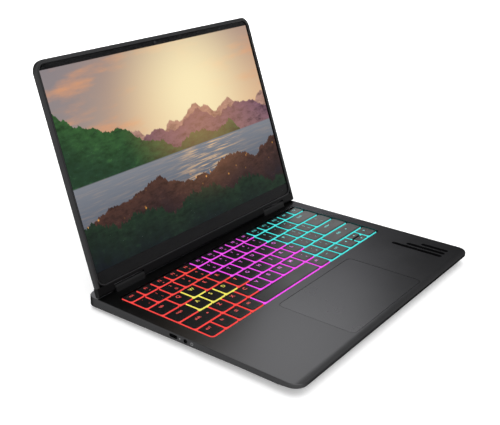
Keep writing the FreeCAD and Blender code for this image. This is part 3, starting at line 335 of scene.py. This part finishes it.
def litPicture(look):
    finish, tree, shader = newFinish("litPicture")
    place = axesOf(tree, tree.nodes.new("ShaderNodeTexCoord").outputs["Generated"])
    across, up = place["X"], place["Z"]
    shades = {name: toLinear(shade) for name, shade in look["shades"].items()}

    def stretched(wide, tall, seed=0.0):
        return pointAt(tree, product(tree, across, wide), product(tree, up, tall), seed)

    sunX, sunY = look["sunAt"]
    sun = lengthOf(tree, gap(tree, across, sunX),
                   product(tree, gap(tree, up, sunY), look["aspect"]))

    def skyLayer():
        height = spread(tree, up, *look["skyBand"], 0, 1)
        sky = blendOf(tree, height, shades["skyLow"], shades["skyHigh"])
        far = spread(tree, across, *look["farBand"], 0, look["farShare"], True)
        sky = blendOf(tree, far, sky, shades["skyFar"])
        drift = noiseAt(tree, stretched(*look["drift"]), *look["driftNoise"])
        cover = spread(tree, drift, *look["cloudBand"], 0, look["cloudShare"], True)
        sky = blendOf(tree, cover, sky, shades["cloud"])
        halo = spread(tree, sun, *look["sunReach"], 0, look["sunShare"], True)
        return blendOf(tree, halo, sky, shades["sunLight"])

    def ridge(picture, height, swing, lean, waves, jag, seed, soft, top, foot):
        top, foot = toLinear(top), toLinear(foot)
        course = pointAt(tree, product(tree, across, waves), seed)
        wander = gap(tree, noiseAt(tree, course, *look["wanderNoise"]), 0.5)
        line = sums(tree, "MULTIPLY_ADD", wander, swing * look["swingGain"], height)
        line = sums(tree, "MULTIPLY_ADD", gap(tree, 0.5, across), lean, line)
        tips = pointAt(tree, product(tree, across, look["spires"]), seed)
        spires = noiseAt(tree, tips, *look["spireNoise"])
        line = sums(tree, "MULTIPLY_ADD", spires, jag * look["jagGain"], line)
        over = gap(tree, line, up)
        body = blendOf(tree, spread(tree, over, 0, look["footFall"], 0, 1), top, foot)
        patch = noiseAt(tree, stretched(*look["patch"], seed), *look["patchNoise"])
        shade = spread(tree, patch, *look["shadeBand"], 0.0, look["shadeShare"])
        body = blendOf(tree, shade, body, tuple(look["shadeDeep"] * c for c in top))
        lit = spread(tree, patch, *look["litBand"], 0.0, look["litShare"])
        body = blendOf(tree, lit, body, tuple(min(look["litGain"] * c, 1) for c in top))
        warm = spread(tree, sun, *look["warmReach"], 0.0, look["warmShare"], True)
        body = blendOf(tree, warm, body, shades["cloud"])
        return blendOf(tree, spread(tree, over, 0.0, soft, 0, 1, True), picture, body)

    # darker towards the viewer, with glints under the sun
    def lakeLayer(picture):
        shore = look["shore"]
        near = spread(tree, up, shore, look["lakeFoot"], 0, 1)
        lake = blendOf(tree, near, shades["lakeFar"], shades["lakeNear"])
        ripple = noiseAt(tree, stretched(*look["ripple"]), *look["rippleNoise"])
        side = sums(tree, "ABSOLUTE", gap(tree, across, sunX))
        column = spread(tree, side, *look["column"], *look["shine"], True)
        glint = product(tree, spread(tree, ripple, *look["rippleBand"], 0, 1, True), column)
        lake = blendOf(tree, glint, lake, shades["glint"])
        below = spread(tree, up, shore, shore - look["shoreSoft"], 0, 1)
        return blendOf(tree, below, picture, lake)

    # a scatter of warm lamps along the slope
    def lamps(picture):
        cells = tree.nodes.new("ShaderNodeTexVoronoi")
        cells.inputs["Scale"].default_value = look["lampNet"]
        tree.links.new(pointAt(tree, product(tree, across, look["lampStretch"]), up),
                       cells.inputs["Vector"])
        pick = axesOf(tree, cells.outputs["Color"])
        chosen = sums(tree, "GREATER_THAN", pick["X"], look["lampPick"])
        low, high = look["lampBand"]
        band = product(tree, spread(tree, up, low, low + look["lampEdge"], 0, 1, True),
                       spread(tree, up, high - look["lampEdge"], high, 1, 0, True))
        spot = spread(tree, cells.outputs["Distance"], look["lampSize"], 0.0, 0, 1, True)
        glow = product(tree, spot, product(tree, chosen, band))
        return blendOf(tree, sums(tree, "POWER", glow, look["lampFall"]), picture, shades["lamp"])

    picture = skyLayer()
    for layer in look["ridges"]:
        picture = ridge(picture, *layer)
    picture = lakeLayer(picture)
    picture = lamps(ridge(picture, *look["lampBank"]))
    picture = ridge(picture, *look["nearBank"])
    tree.links.new(picture, shader.inputs["Emission Color"])
    shader.inputs["Emission Strength"].default_value = 1.0
    shader.inputs["Base Color"].default_value = (*look["panel"], 1)
    shader.inputs["Roughness"].default_value = look["rough"]
    shader.inputs["Specular IOR Level"].default_value = look["specular"]
    return finish


dressNode("display_panel", litPicture(pictureLook))
print("screen lit")


# a new piece from a finished shape, riding on its body
def newPiece(name, shape, wear, body, sharp=40):
    shape.normal_update()
    mesh = bpy.data.meshes.new(name)
    shape.to_mesh(mesh)
    shape.free()
    for finish in wear:
        mesh.materials.append(finish)
    mesh.set_sharp_from_angle(angle=math.radians(sharp))
    piece = bpy.data.objects.new(name, mesh)
    bpy.context.scene.collection.objects.link(piece)
    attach(piece, body)
    return piece


def addBlock(shape, x, y, z, size, part, edge=0.06):
    corners = bmesh.ops.create_cube(shape, size=1)["verts"]
    for vert in corners:
        vert.co = [(middle + share * span) * mm
                   for middle, share, span in zip((x, y, z), vert.co, size)]
    faces = {face for vert in corners for face in vert.link_faces}
    for face in faces:
        face.material_index = part
    edges = {rim for face in faces for rim in face.edges}
    bmesh.ops.bevel(shape, geom=list(edges), offset=edge * mm, segments=2, affect="EDGES",
                    material=part)


# keys: caps with a dished top, lit skirts and lit legends, mm
keyLook = {
    "pitch": 18.8, "front": 96.0, "functionRow": 5, "functionDepth": 14.0, "first": -7.5,
    "top": 12.05, "tall": 2.2, "skirtInset": 0.35, "topInset": 1.05, "roomInset": 2.55,
    "roof": 0.9, "frontRound": 2.4, "backRound": 0.9, "leastRound": (0.25, 0.2),
    "roundSteps": (5, 3), "edge": 0.16,
    # the rounded rim of the top: inwards, down, corner shrink
    "rim": [(0.04, 0.07, 0.05), (0.22, 0.0, 0.2)],
    "dish": 0.14, "dishFrom": 1.3, "dishLeast": 0.5, "dishRings": (0.3, 0.6, 0.85),
    "bar": {"at": 4.0, "drop": 0.12, "size": (3.4, 0.7, 0.24), "on": ("F", "J")},
    "sharp": 38,
    "cap": {"colour": (0.0075, 0.0075, 0.008), "rough": 0.36, "grain": 1900, "relief": 0.12,
            "swing": 0.03, "specular": 0.03},
}

# each zone's skirt and legend
zoneLook = {"red": ((255, 74, 70), (248, 92, 88)), "yellow": ((252, 242, 104), (246, 232, 96)),
            "magenta": ((252, 84, 248), (236, 112, 234)), "cyan": ((80, 240, 236), (96, 220, 216))}
zoneNames = list(zoneLook)
zoneOf = {name[0]: name for name in zoneNames}  # by first letter, for the rows below
glowLook = {"kinds": {"Glow": 420, "Ink": 180}, "dim": 0.82, "unlit": 0.05, "rough": (0.45, 0.6),
            "specular": 0.15}

# legends: sizes, then places on a cap in mm or as shares of it
legendLook = {"letter": 5.8, "small": 4.3, "bold": 0.012, "curveSteps": 3, "lift": 0.015,
              "nudge": 1.2, "wide": 20, "deep": 12, "rise": 0.67,
              "markNudge": 0.6, "markTop": 4.6, "markFoot": 4.2,
              "shiftWord": (0.45, 0.62), "shiftSign": (0.78, 0.6), "longShift": 40,
              "longSign": 0.7,
              "pairNudge": 2.0, "pairTop": 5.2, "pairFoot": 6.2, "pairSizes": (3.9, 3.5)}


# single keys of one row: legends, second legends and zones, a character each
def plainKeys(node, legends, seconds, zones):
    return [(node, 1, zoneOf[zone], legend, second.strip())
            for legend, second, zone in zip(legends, seconds, zones)]


# each row from the front: node, width in pitches, zone, legend, second legend
keyRows = [
    [("modifier_keys", 1, "red", legend, "") for legend in ("ctrl", "fn", "menu", "alt")]
    + [("key_space", 5, "magenta", "", ""), ("modifier_keys", 1, "magenta", "alt", ""),
       ("modifier_keys", 1, "cyan", "dots", ""), ("modifier_keys", 1, "cyan", "ctrl", ""),
       ("key_arrow_left", 1, "cyan", "left", ""), ("upAndDown", 1, "cyan", "", ""),
       ("key_arrow_right", 1, "cyan", "right", "")],
    [("key_shift_left", 2, "red", "shift", "up")]
    + plainKeys("lower_letter_keys", "ZXCVBNM,./", "       <>?", "rrrmmmmmcc")
    + [("key_shift_right", 3, "cyan", "shift", "up")],
    [("key_caps", 1.55, "red", "caps", "")]
    + plainKeys("home_letter_keys", "ASDFGHJKL;'", "         :\"", "yyyrmmmmmcc")
    + [("key_enter", 2.45, "cyan", "enter", "")],
    [("key_tab", 1.3, "red", "tab", "")]
    + plainKeys("upper_letter_keys", "QWERTYUIOP[]", "          {}", "ryrrmmmmmccc")
    + [("key_backslash", 1.7, "cyan", "\\", "|")],
    [("number_keys", 0.86, "red", "`", "~")]
    + plainKeys("number_keys", "1234567890-=", "!@#$%^&*()_+", "rrrrmmmmmccc")
    + [("key_backspace", 2.14, "cyan", "back", "")],
    [("function_keys", 1, "red", "esc", "")]
    + [("function_keys", 1, zoneOf[zone], "F%d" % n, "mark%d" % n)
       for n, zone in enumerate("rrrrmmmmmccc", start=1)]
    + [("function_keys", 1, "cyan", "del", ""), ("key_power", 1, "cyan", "ring", "")],
]


def glowFinish(name, shade, scale, look):
    finish, tree, shader = newFinish(name)
    colour = toLinear(shade)
    cloud = noiseAt(tree, placeOf(tree), scale)
    dimmed = tuple(look["dim"] * c for c in colour)
    tint = blendOf(tree, spread(tree, cloud, *tintBand, 0, 1), dimmed, colour)
    tree.links.new(tint, shader.inputs["Emission Color"])
    shader.inputs["Emission Strength"].default_value = 1.0
    shader.inputs["Base Color"].default_value = (*(look["unlit"] * c for c in colour), 1)
    tree.links.new(spread(tree, cloud, *glossBand, *look["rough"]), shader.inputs["Roughness"])
    shader.inputs["Specular IOR Level"].default_value = look["specular"]
    return finish


# material places on a cap: plastic, then the skirts, then the legends
keyFinishes = [grained("capPlastic", keyLook["cap"])]
for place, (kind, scale) in enumerate(glowLook["kinds"].items()):
    for zone, shades in zoneLook.items():
        keyFinishes.append(glowFinish(zone + kind, shades[place], scale, glowLook))

glyphs = {}


def glyphMesh(text, size):
    if (text, size) not in glyphs:
        curve = bpy.data.curves.new("legend", "FONT")
        curve.body = text
        curve.size = size
        curve.align_x = "CENTER"
        curve.align_y = "CENTER"
        curve.resolution_u = legendLook["curveSteps"]
        curve.offset = legendLook["bold"] * size
        holder = bpy.data.objects.new("legend", curve)
        bpy.context.scene.collection.objects.link(holder)
        bpy.context.view_layer.update()
        mesh = bpy.data.meshes.new_from_object(holder)
        glyphs[(text, size)] = ([tuple(v.co) for v in mesh.vertices],
                                [tuple(p.vertices) for p in mesh.polygons])
        bpy.data.objects.remove(holder)
        bpy.data.meshes.remove(mesh)
    return glyphs[(text, size)]


def discOf(*points):
    return [(x, y, 0) for x, y in points], [tuple(range(len(points)))]


def hoop(radius, thick, start=0.0, turn=360.0, steps=20):
    points, faces = [], []
    for n in range(steps + 1):
        angle = math.radians(start + turn * n / steps)
        for r in (radius - thick / 2, radius + thick / 2):
            points.append((r * math.cos(angle), r * math.sin(angle), 0))
    for n in range(steps):
        faces.append((2 * n, 2 * n + 1, 2 * n + 3, 2 * n + 2))
    return points, faces


def strips(*boxes):
    points, faces = [], []
    for x0, y0, x1, y1 in boxes:
        first = len(points)
        points += [(x0, y0, 0), (x1, y0, 0), (x1, y1, 0), (x0, y1, 0)]
        faces.append(tuple(range(first, first + 4)))
    return points, faces


# plain signs drawn as flat shapes, mm
signs = {
    "left": discOf((-1.4, 0), (0.9, -1.4), (0.9, 1.4)),
    "right": discOf((1.4, 0), (-0.9, 1.4), (-0.9, -1.4)),
    "up": discOf((0, 1.2), (-1.4, -0.9), (1.4, -0.9)),
    "down": discOf((0, -1.2), (1.4, 0.9), (-1.4, 0.9)),
    "menu": strips((-1.7, 0.9, 1.7, 1.4), (-1.7, -0.25, 1.7, 0.25), (-1.7, -1.4, 1.7, -0.9)),
    "dots": strips((-1.8, -0.4, -1.0, 0.4), (-0.4, -0.4, 0.4, 0.4), (1.0, -0.4, 1.8, 0.4)),
    "ring": hoop(1.5, 0.45, 115, 310),
}
functionSigns = [
    hoop(0.8, 0.35),
    strips((-1.1, -0.2, 1.1, 0.2)),
    discOf((0.9, 0), (-0.7, 0.9), (-0.7, -0.9)),
    strips((-1.0, -0.8, -0.6, 0.8), (-0.2, -0.5, 0.2, 0.8), (0.6, -0.1, 1.0, 0.8)),
]
for n in range(1, 13):  # the twelve function keys
    signs["mark%d" % n] = functionSigns[n % len(functionSigns)]


# outline of a cap at one level, with larger corners at the front than at the back
def capLoop(cell, inset, shrink):
    left, right, low, high = cell
    left, right, low, high = left + inset, right - inset, low + inset, high - inset
    front = max(keyLook["frontRound"] - shrink, keyLook["leastRound"][0])
    back = max(keyLook["backRound"] - shrink, keyLook["leastRound"][1])
    frontSteps, backSteps = keyLook["roundSteps"]
    loop = []
    for x, y, r, start, steps in ((left + front, low + front, front, 180, frontSteps),
                                  (right - front, low + front, front, 270, frontSteps),
                                  (right - back, high - back, back, 0, backSteps),
                                  (left + back, high - back, back, 90, backSteps)):
        for n in range(steps + 1):
            angle = math.radians(start + 90 * n / steps)
            loop.append((x + r * math.cos(angle), y + r * math.sin(angle)))
    return loop


def dishDrop(inset, half):
    start = keyLook["dishFrom"]
    share = min(max((inset - start) / max(half - start, keyLook["dishLeast"]), 0), 1)
    return keyLook["dish"] * (1 - (1 - share) ** 2)


# levels of a cap from the foot up: inset, height, corner shrink, material place
def capRings(half, glow):
    top, tall, edge = keyLook["top"], keyLook["tall"], keyLook["edge"]
    skirt, rim = keyLook["skirtInset"], keyLook["topInset"]
    slope = (rim - skirt) / tall
    rings = [(skirt, top - tall, 0.0, glow),
             (skirt + slope * (tall - edge), top - edge, 0.0, glow)]
    for inwards, down, shrink in keyLook["rim"]:
        rings.append((rim + inwards, top - down, shrink, 0))
    for share in keyLook["dishRings"]:
        inset = keyLook["dishFrom"] + share * (half - keyLook["dishFrom"])
        rings.append((inset, top - dishDrop(inset, half), inset - rim, 0))
    return rings


def buildCap(shape, cell, zone, legend, second, paintedShadeSide):
    left, right, low, high = cell
    half = min(right - left, high - low) / 2
    top = keyLook["top"]
    glow = 1 + zoneNames.index(zone)
    ink = glow + len(zoneNames)
    rings = capRings(half, glow)

    def loopAt(inset, z, shrink):
        return [shape.verts.new((x * mm, y * mm, z * mm)) for x, y in capLoop(cell, inset, shrink)]

    loops = [loopAt(*ring[:3]) for ring in rings]
    for lower, upper, ring in zip(loops, loops[1:], rings[1:]):
        for n in range(len(lower)):
            following = (n + 1) % len(lower)
            face = shape.faces.new((lower[n], lower[following], upper[following], upper[n]))
            face.material_index = ring[3]
            face.smooth = True
            # on the side named here, skirt faces stay unlit cap plastic: painted shade in the
            # recess behind the function row and in the gap between the arrow halves
            ends = (lower[n].co.y / mm, lower[following].co.y / mm)
            if paintedShadeSide == "back" and min(ends) > high - keyLook["topInset"]:
                face.material_index = 0
            if paintedShadeSide == "front" and max(ends) < low + keyLook["topInset"]:
                face.material_index = 0
    shape.faces.new(loops[-1]).smooth = True

    # hollow underside, open for the dome below
    room = [loopAt(keyLook["roomInset"], z, keyLook["frontRound"])
            for z in (top - keyLook["tall"], top - keyLook["roof"])]
    for outer, inner, part in ((loops[0], room[0], glow), (room[0], room[1], 0)):
        for n in range(len(outer)):
            following = (n + 1) % len(outer)
            face = shape.faces.new((outer[following], outer[n], inner[n], inner[following]))
            face.material_index = part
    shape.faces.new(list(reversed(room[1])))

    def mark(what, x, y, size):
        points, faces = signs[what] if what in signs else glyphMesh(what, size)
        placed = []
        for px, py, _ in points:
            wx, wy = x + px, y + py
            inset = min(wx - left, right - wx, wy - low, high - wy)
            z = top - dishDrop(inset, half) + legendLook["lift"]
            placed.append(shape.verts.new((wx * mm, wy * mm, z * mm)))
        for face in faces:
            shape.faces.new([placed[n] for n in face]).material_index = ink

    bar = keyLook["bar"]
    if legend in bar["on"]:
        addBlock(shape, (left + right) / 2, low + bar["at"], top - bar["drop"], bar["size"], 0)
    if legend:
        markCap(mark, cell, legend, second, legendLook)


def markCap(mark, cell, legend, second, look):
    left, right, low, high = cell
    wide, deep, middle = right - left, high - low, (left + right) / 2
    word = len(legend) > 1 and legend not in signs
    size = look["small"] if word else look["letter"]
    if second.startswith("mark"):
        mark(legend, middle + look["markNudge"], high - look["markTop"], look["small"])
        mark(second, middle + look["markNudge"], low + look["markFoot"], size)
    elif second == "up":
        wordAcross, wordRise = look["shiftWord"]
        signAcross, signRise = look["shiftSign"]
        if wide >= look["longShift"]:
            signAcross = look["longSign"]
        mark(legend, left + wide * wordAcross, low + deep * wordRise, size)
        mark("up", left + wide * signAcross, low + deep * signRise, size)
    elif second:
        large, small = look["pairSizes"]
        mark(legend, middle + look["pairNudge"], high - look["pairTop"], large)
        mark(second, middle + look["pairNudge"], low + look["pairFoot"], small)
    else:
        nudge = look["nudge"] if not word and wide < look["wide"] else 0
        rise = look["rise"] if deep > look["deep"] else 0.5
        mark(legend, middle + nudge, low + deep * rise, size)


def keyCells():
    pitch = keyLook["pitch"]
    for row, keys in enumerate(keyRows):
        start = keyLook["first"]
        last = row == keyLook["functionRow"]
        low = base["front"] + keyLook["front"] + row * pitch
        high = low + (keyLook["functionDepth"] if last else pitch)
        for node, wide, zone, legend, second in keys:
            left = start * pitch
            right = left + wide * pitch
            if node == "upAndDown":
                middle = low + pitch / 2
                # the facing skirts of the two arrow halves are left unlit, a painted shade in the
                # gap between them
                yield "key_arrow_down", (left, right, low, middle), zone, "down", "", "back"
                yield "key_arrow_up", (left, right, middle, high), zone, "up", "", "front"
            else:
                # the function row's back skirt is left unlit, a painted shade in the recess behind
                # it
                paintedShadeSide = "back" if last else ""
                yield node, (left, right, low, high), zone, legend, second, paintedShadeSide
            start += wide


capShapes = {}
for node, *cap in keyCells():
    if node not in capShapes:
        capShapes[node] = bmesh.new()
    buildCap(capShapes[node], *cap)
for node, shape in capShapes.items():
    caps = newPiece("caps_" + node, shape, keyFinishes, node, keyLook["sharp"])
    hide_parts(node)
print("keys built:", len(capShapes), "pieces")

# dark printed bars on the right palm rest: x, from and to behind the front edge, width
barLook = {"bars": [(123.6, 15, 70, 4.8), (131.0, 15, 57, 4.8), (138.4, 15, 44, 4.8)],
           "lift": 0.002, "thick": 0.03, "steps": 8,
           "print": {"colour": (0.002, 0.002, 0.0022), "rough": 0.6, "grain": 1600,
                     "relief": 0.05, "specular": 0.0}}


def palmBars(look):
    shape = bmesh.new()
    for x, near, far, wide in look["bars"]:
        r = wide / 2
        loop = []
        for y, start in ((near + r, 180), (far - r, 0)):
            for n in range(look["steps"] + 1):
                angle = math.radians(start + 180 * n / look["steps"])
                loop.append((x + r * math.cos(angle), base["front"] + y + r * math.sin(angle)))
        low, high = [[shape.verts.new((px * mm, py * mm, (base["deck"] + rise) * mm))
                      for px, py in loop] for rise in (look["lift"], look["thick"])]
        for n in range(len(loop)):
            after = (n + 1) % len(loop)
            shape.faces.new((low[n], low[after], high[after], high[n]))
        shape.faces.new(high)
        shape.faces.new(list(reversed(low)))
    newPiece("palmBars", shape, [grained("barPrint", look["print"])], "base")


palmBars(barLook)

# gold contacts on the tongues of the ports
contactLook = {
    "gold": {"colour": (0.75, 0.5, 0.18), "rough": 0.28, "metal": 1.0, "stretch": (1, 0.15, 1),
             "grain": 2600, "relief": 0.05},
    # x, height, step between contacts, how many, size of one
    "rear": [(44, 7.6, 0.5, 10, (0.26, 5.0, 0.06)), (10, 7.6, 2.2, 4, (1.1, 6.0, 0.06)),
             (-26, 7.6, 0.95, 10, (0.45, 5.5, 0.06))],
    "rearDepth": 6.2, "rearLift": 0.42,
    # behind the front edge, height, step, how many, size of one
    "side": (126.0, 9.2, 0.5, 10, (4.0, 0.26, 0.05)),
    "sideDepth": 5.6, "sideLift": 0.37, "edge": 0.01,
}


def portContacts(look):
    shape = bmesh.new()
    back = base["front"] + base["depth"] - look["rearDepth"]
    for x, z, step, count, size in look["rear"]:
        for n in range(count):
            along = x + (n - (count - 1) / 2) * step
            for face in (-1, 1):
                addBlock(shape, along, back, z + face * look["rearLift"], size, 0, look["edge"])
    y, z, step, count, size = look["side"]
    for side in (-1, 1):
        x = side * (base["half"] - look["sideDepth"])
        for n in range(count):
            along = base["front"] + y + (n - (count - 1) / 2) * step
            for face in (-1, 1):
                addBlock(shape, x, along, z + face * look["sideLift"], size, 0, look["edge"])
    newPiece("portContacts", shape, [grained("contactGold", look["gold"])], "base")


portContacts(contactLook)

# the lid at rest: upright at the hinge axis, then leaned back
lidLook = {"axis": (0, 71.67, 15.4), "lean": -19.15}
lidRest = (Matrix.Translation(Vector(lidLook["axis"]) * mm)
           @ Matrix.Rotation(math.radians(lidLook["lean"]), 4, "X"))

# webcam eye: a domed lens in a ring, behind the glass
eyeLook = {"level": 211.4, "front": 1.33, "steps": 28, "lensRings": 3,
           # radius and drop from the front, outwards
           "profile": [(0.0, 0.0), (0.4, -0.03), (0.75, -0.1), (0.95, -0.2), (0.98, -0.12),
                       (1.1, -0.1), (1.15, -0.22)],
           "glass": {"colour": (0.006, 0.008, 0.02), "rough": 0.06, "swing": 0.02, "grain": 600,
                     "relief": 0.01, "specular": 0.2},
           "hoop": {"colour": (0.03, 0.03, 0.032), "rough": 0.3, "metal": 1.0, "grain": 2400}}


def webcamEye(look):
    shape = bmesh.new()
    steps = look["steps"]
    loops = []
    for radius, drop in look["profile"]:
        ring = []
        for n in range(steps if radius else 1):
            angle = 2 * math.pi * n / steps
            place = Vector((radius * math.cos(angle), -(look["front"] + drop),
                            look["level"] + radius * math.sin(angle)))
            ring.append(shape.verts.new(lidRest @ (place * mm)))
        loops.append(ring)
    tip = loops.pop(0)[0]
    for n in range(steps):
        after = (n + 1) % steps
        shape.faces.new((tip, loops[0][n], loops[0][after])).smooth = True
        for step, (inner, outer) in enumerate(zip(loops, loops[1:]), start=1):
            face = shape.faces.new((inner[n], outer[n], outer[after], inner[after]))
            face.smooth = True
            face.material_index = 0 if step < look["lensRings"] else 1
    wear = [grained("eyeGlass", look["glass"]), grained("eyeHoop", look["hoop"])]
    newPiece("webcamEye", shape, wear, "lid")


webcamEye(eyeLook)

# rubber seals in the lid that close the slit over each hinge barrel
sealLook = {"middles": (-116.0, 116.0), "width": 38.8, "inner": 3.1, "outer": 3.95,
            "turn": (-3, 19), "steps": 6}


def hingeSeals(look):
    shape = bmesh.new()
    start, end = look["turn"]
    steps, inner, outer = look["steps"], look["inner"], look["outer"]
    angles = [math.radians(start + (end - start) * n / steps) for n in range(steps + 1)]
    profile = [(inner * math.sin(angle), inner * math.cos(angle)) for angle in angles]
    profile += [(profile[-1][0], outer), (profile[0][0], outer)]
    for middle in look["middles"]:
        ends = []
        for side in (-1, 1):
            x = middle + side * look["width"] / 2
            ends.append([shape.verts.new(lidRest @ (Vector((x, y, z)) * mm)) for y, z in profile])
        for n in range(len(profile)):
            after = (n + 1) % len(profile)
            shape.faces.new((ends[0][n], ends[0][after], ends[1][after], ends[1][n]))
        shape.faces.new(list(reversed(ends[0])))
        shape.faces.new(ends[1])
    bmesh.ops.recalc_face_normals(shape, faces=shape.faces)
    newPiece("hingeSeals", shape, [finishes["gasketRubber"]], "lid")


hingeSeals(sealLook)
print("small pieces placed")

# floor and light; each panel is its place, its aim, its size and its power
stageLook = {
    "floor": (0.86, 0.86, 0.86), "reach": 6, "tone": 0.98, "toneScale": 3, "rough": 0.9,
    "lift": (0.26, 1.0), "liftReach": (0.5, 1.8), "world": 0.55,
    "panels": {
        "overhead": ((-0.3, -0.5, 1.6), (0, 0, 0), (2.4, 2.4), 26.0),
        "side": ((-1.5, -0.9, 0.7), (0, 0, 0.05), (0.9, 0.9), 8.0),
        "rear": ((0.98, 0.88, 0.7), (0, -0.05, 0.01), (0.93, 0.66), 13.2),
    },
}


# 1 where the camera, a reflection or glass looks at the surface
def seenRays(tree):
    path = tree.nodes.new("ShaderNodeLightPath")
    seen = sums(tree, "ADD", path.outputs["Is Camera Ray"], path.outputs["Is Glossy Ray"])
    return sums(tree, "ADD", seen, path.outputs["Is Transmission Ray"], clamp=True)


def paleFloor(look):
    finish, tree, shader = newFinish("paleFloor")
    shader.inputs["Roughness"].default_value = look["rough"]
    shader.inputs["Specular IOR Level"].default_value = 0
    where = placeOf(tree)
    darker = tuple(look["tone"] * c for c in look["floor"])
    tone = noiseAt(tree, where, look["toneScale"])
    tree.links.new(blendOf(tree, tone, darker, look["floor"]), shader.inputs["Base Color"])
    shader.inputs["Emission Color"].default_value = (1, 1, 1, 1)
    reach = tree.nodes.new("ShaderNodeVectorMath")
    reach.operation = "LENGTH"
    tree.links.new(where, reach.inputs[0])
    lift = spread(tree, reach.outputs["Value"], *look["liftReach"], *look["lift"], True)
    tree.links.new(product(tree, seenRays(tree), lift), shader.inputs["Emission Strength"])
    return finish


def studio(look):
    r = look["reach"]
    mesh = bpy.data.meshes.new("floor")
    mesh.from_pydata([(-r, -r, 0), (r, -r, 0), (r, r, 0), (-r, r, 0)], [], [(0, 1, 2, 3)])
    mesh.materials.append(paleFloor(look))
    floor = bpy.data.objects.new("floor", mesh)
    bpy.context.scene.collection.objects.link(floor)

    world = bpy.data.worlds.new("studio")
    bpy.context.scene.world = world
    world.use_nodes = True
    tree = world.node_tree
    back = tree.nodes["Background"]
    back.inputs["Color"].default_value = (1, 1, 1, 1)
    tree.links.new(spread(tree, seenRays(tree), 0, 1, look["world"], 1.0), back.inputs["Strength"])

    for name, (at, aim, size, power) in look["panels"].items():
        lamp = bpy.data.lights.new(name, "AREA")
        lamp.shape = "RECTANGLE"
        lamp.size, lamp.size_y = size
        lamp.energy = power
        holder = bpy.data.objects.new(name, lamp)
        bpy.context.scene.collection.objects.link(holder)
        holder.location = at
        holder.rotation_euler = (Vector(aim) - Vector(at)).to_track_quat("-Z", "Y").to_euler()
        holder.visible_camera = False


studio(stageLook)
bpy.context.scene.view_settings.view_transform = "Standard"

# camera: angles in degrees, lengths in mm, the lens and the image in pixels
cameraLook = {"azimuth": -51.03, "elevation": 18.2, "distance": 814.72, "side": -70.66,
              "rise": 117.03, "focal": 841.48, "middle": (215, 150), "image": (500, 425),
              "origin": (0, -29.38, 12.2), "sensor": 36, "near": 0.01}


def photoCamera(look):
    a, e = math.radians(look["azimuth"]), math.radians(look["elevation"])
    back = Vector((math.sin(a) * math.cos(e), -math.cos(a) * math.cos(e), math.sin(e)))
    right = Vector((math.cos(a), math.sin(a), 0))
    up = back.cross(right)
    at = (Vector(look["origin"]) + back * look["distance"]
          + right * look["side"] + up * look["rise"])
    lens = bpy.data.cameras.new("photoCamera")
    lens.sensor_fit = "HORIZONTAL"
    lens.sensor_width = look["sensor"]
    wide, tall = look["image"]
    lens.lens = look["focal"] / wide * look["sensor"]
    lens.shift_x = (wide / 2 - look["middle"][0]) / wide
    lens.shift_y = (look["middle"][1] - tall / 2) / wide
    lens.clip_start = look["near"]
    camera = bpy.data.objects.new("photoCamera", lens)
    bpy.context.scene.collection.objects.link(camera)
    turn = Matrix((right, up, back)).transposed().to_4x4()
    camera.matrix_world = Matrix.Translation(at * mm) @ turn
    bpy.context.scene.camera = camera


photoCamera(cameraLook)
print("stage and camera set")
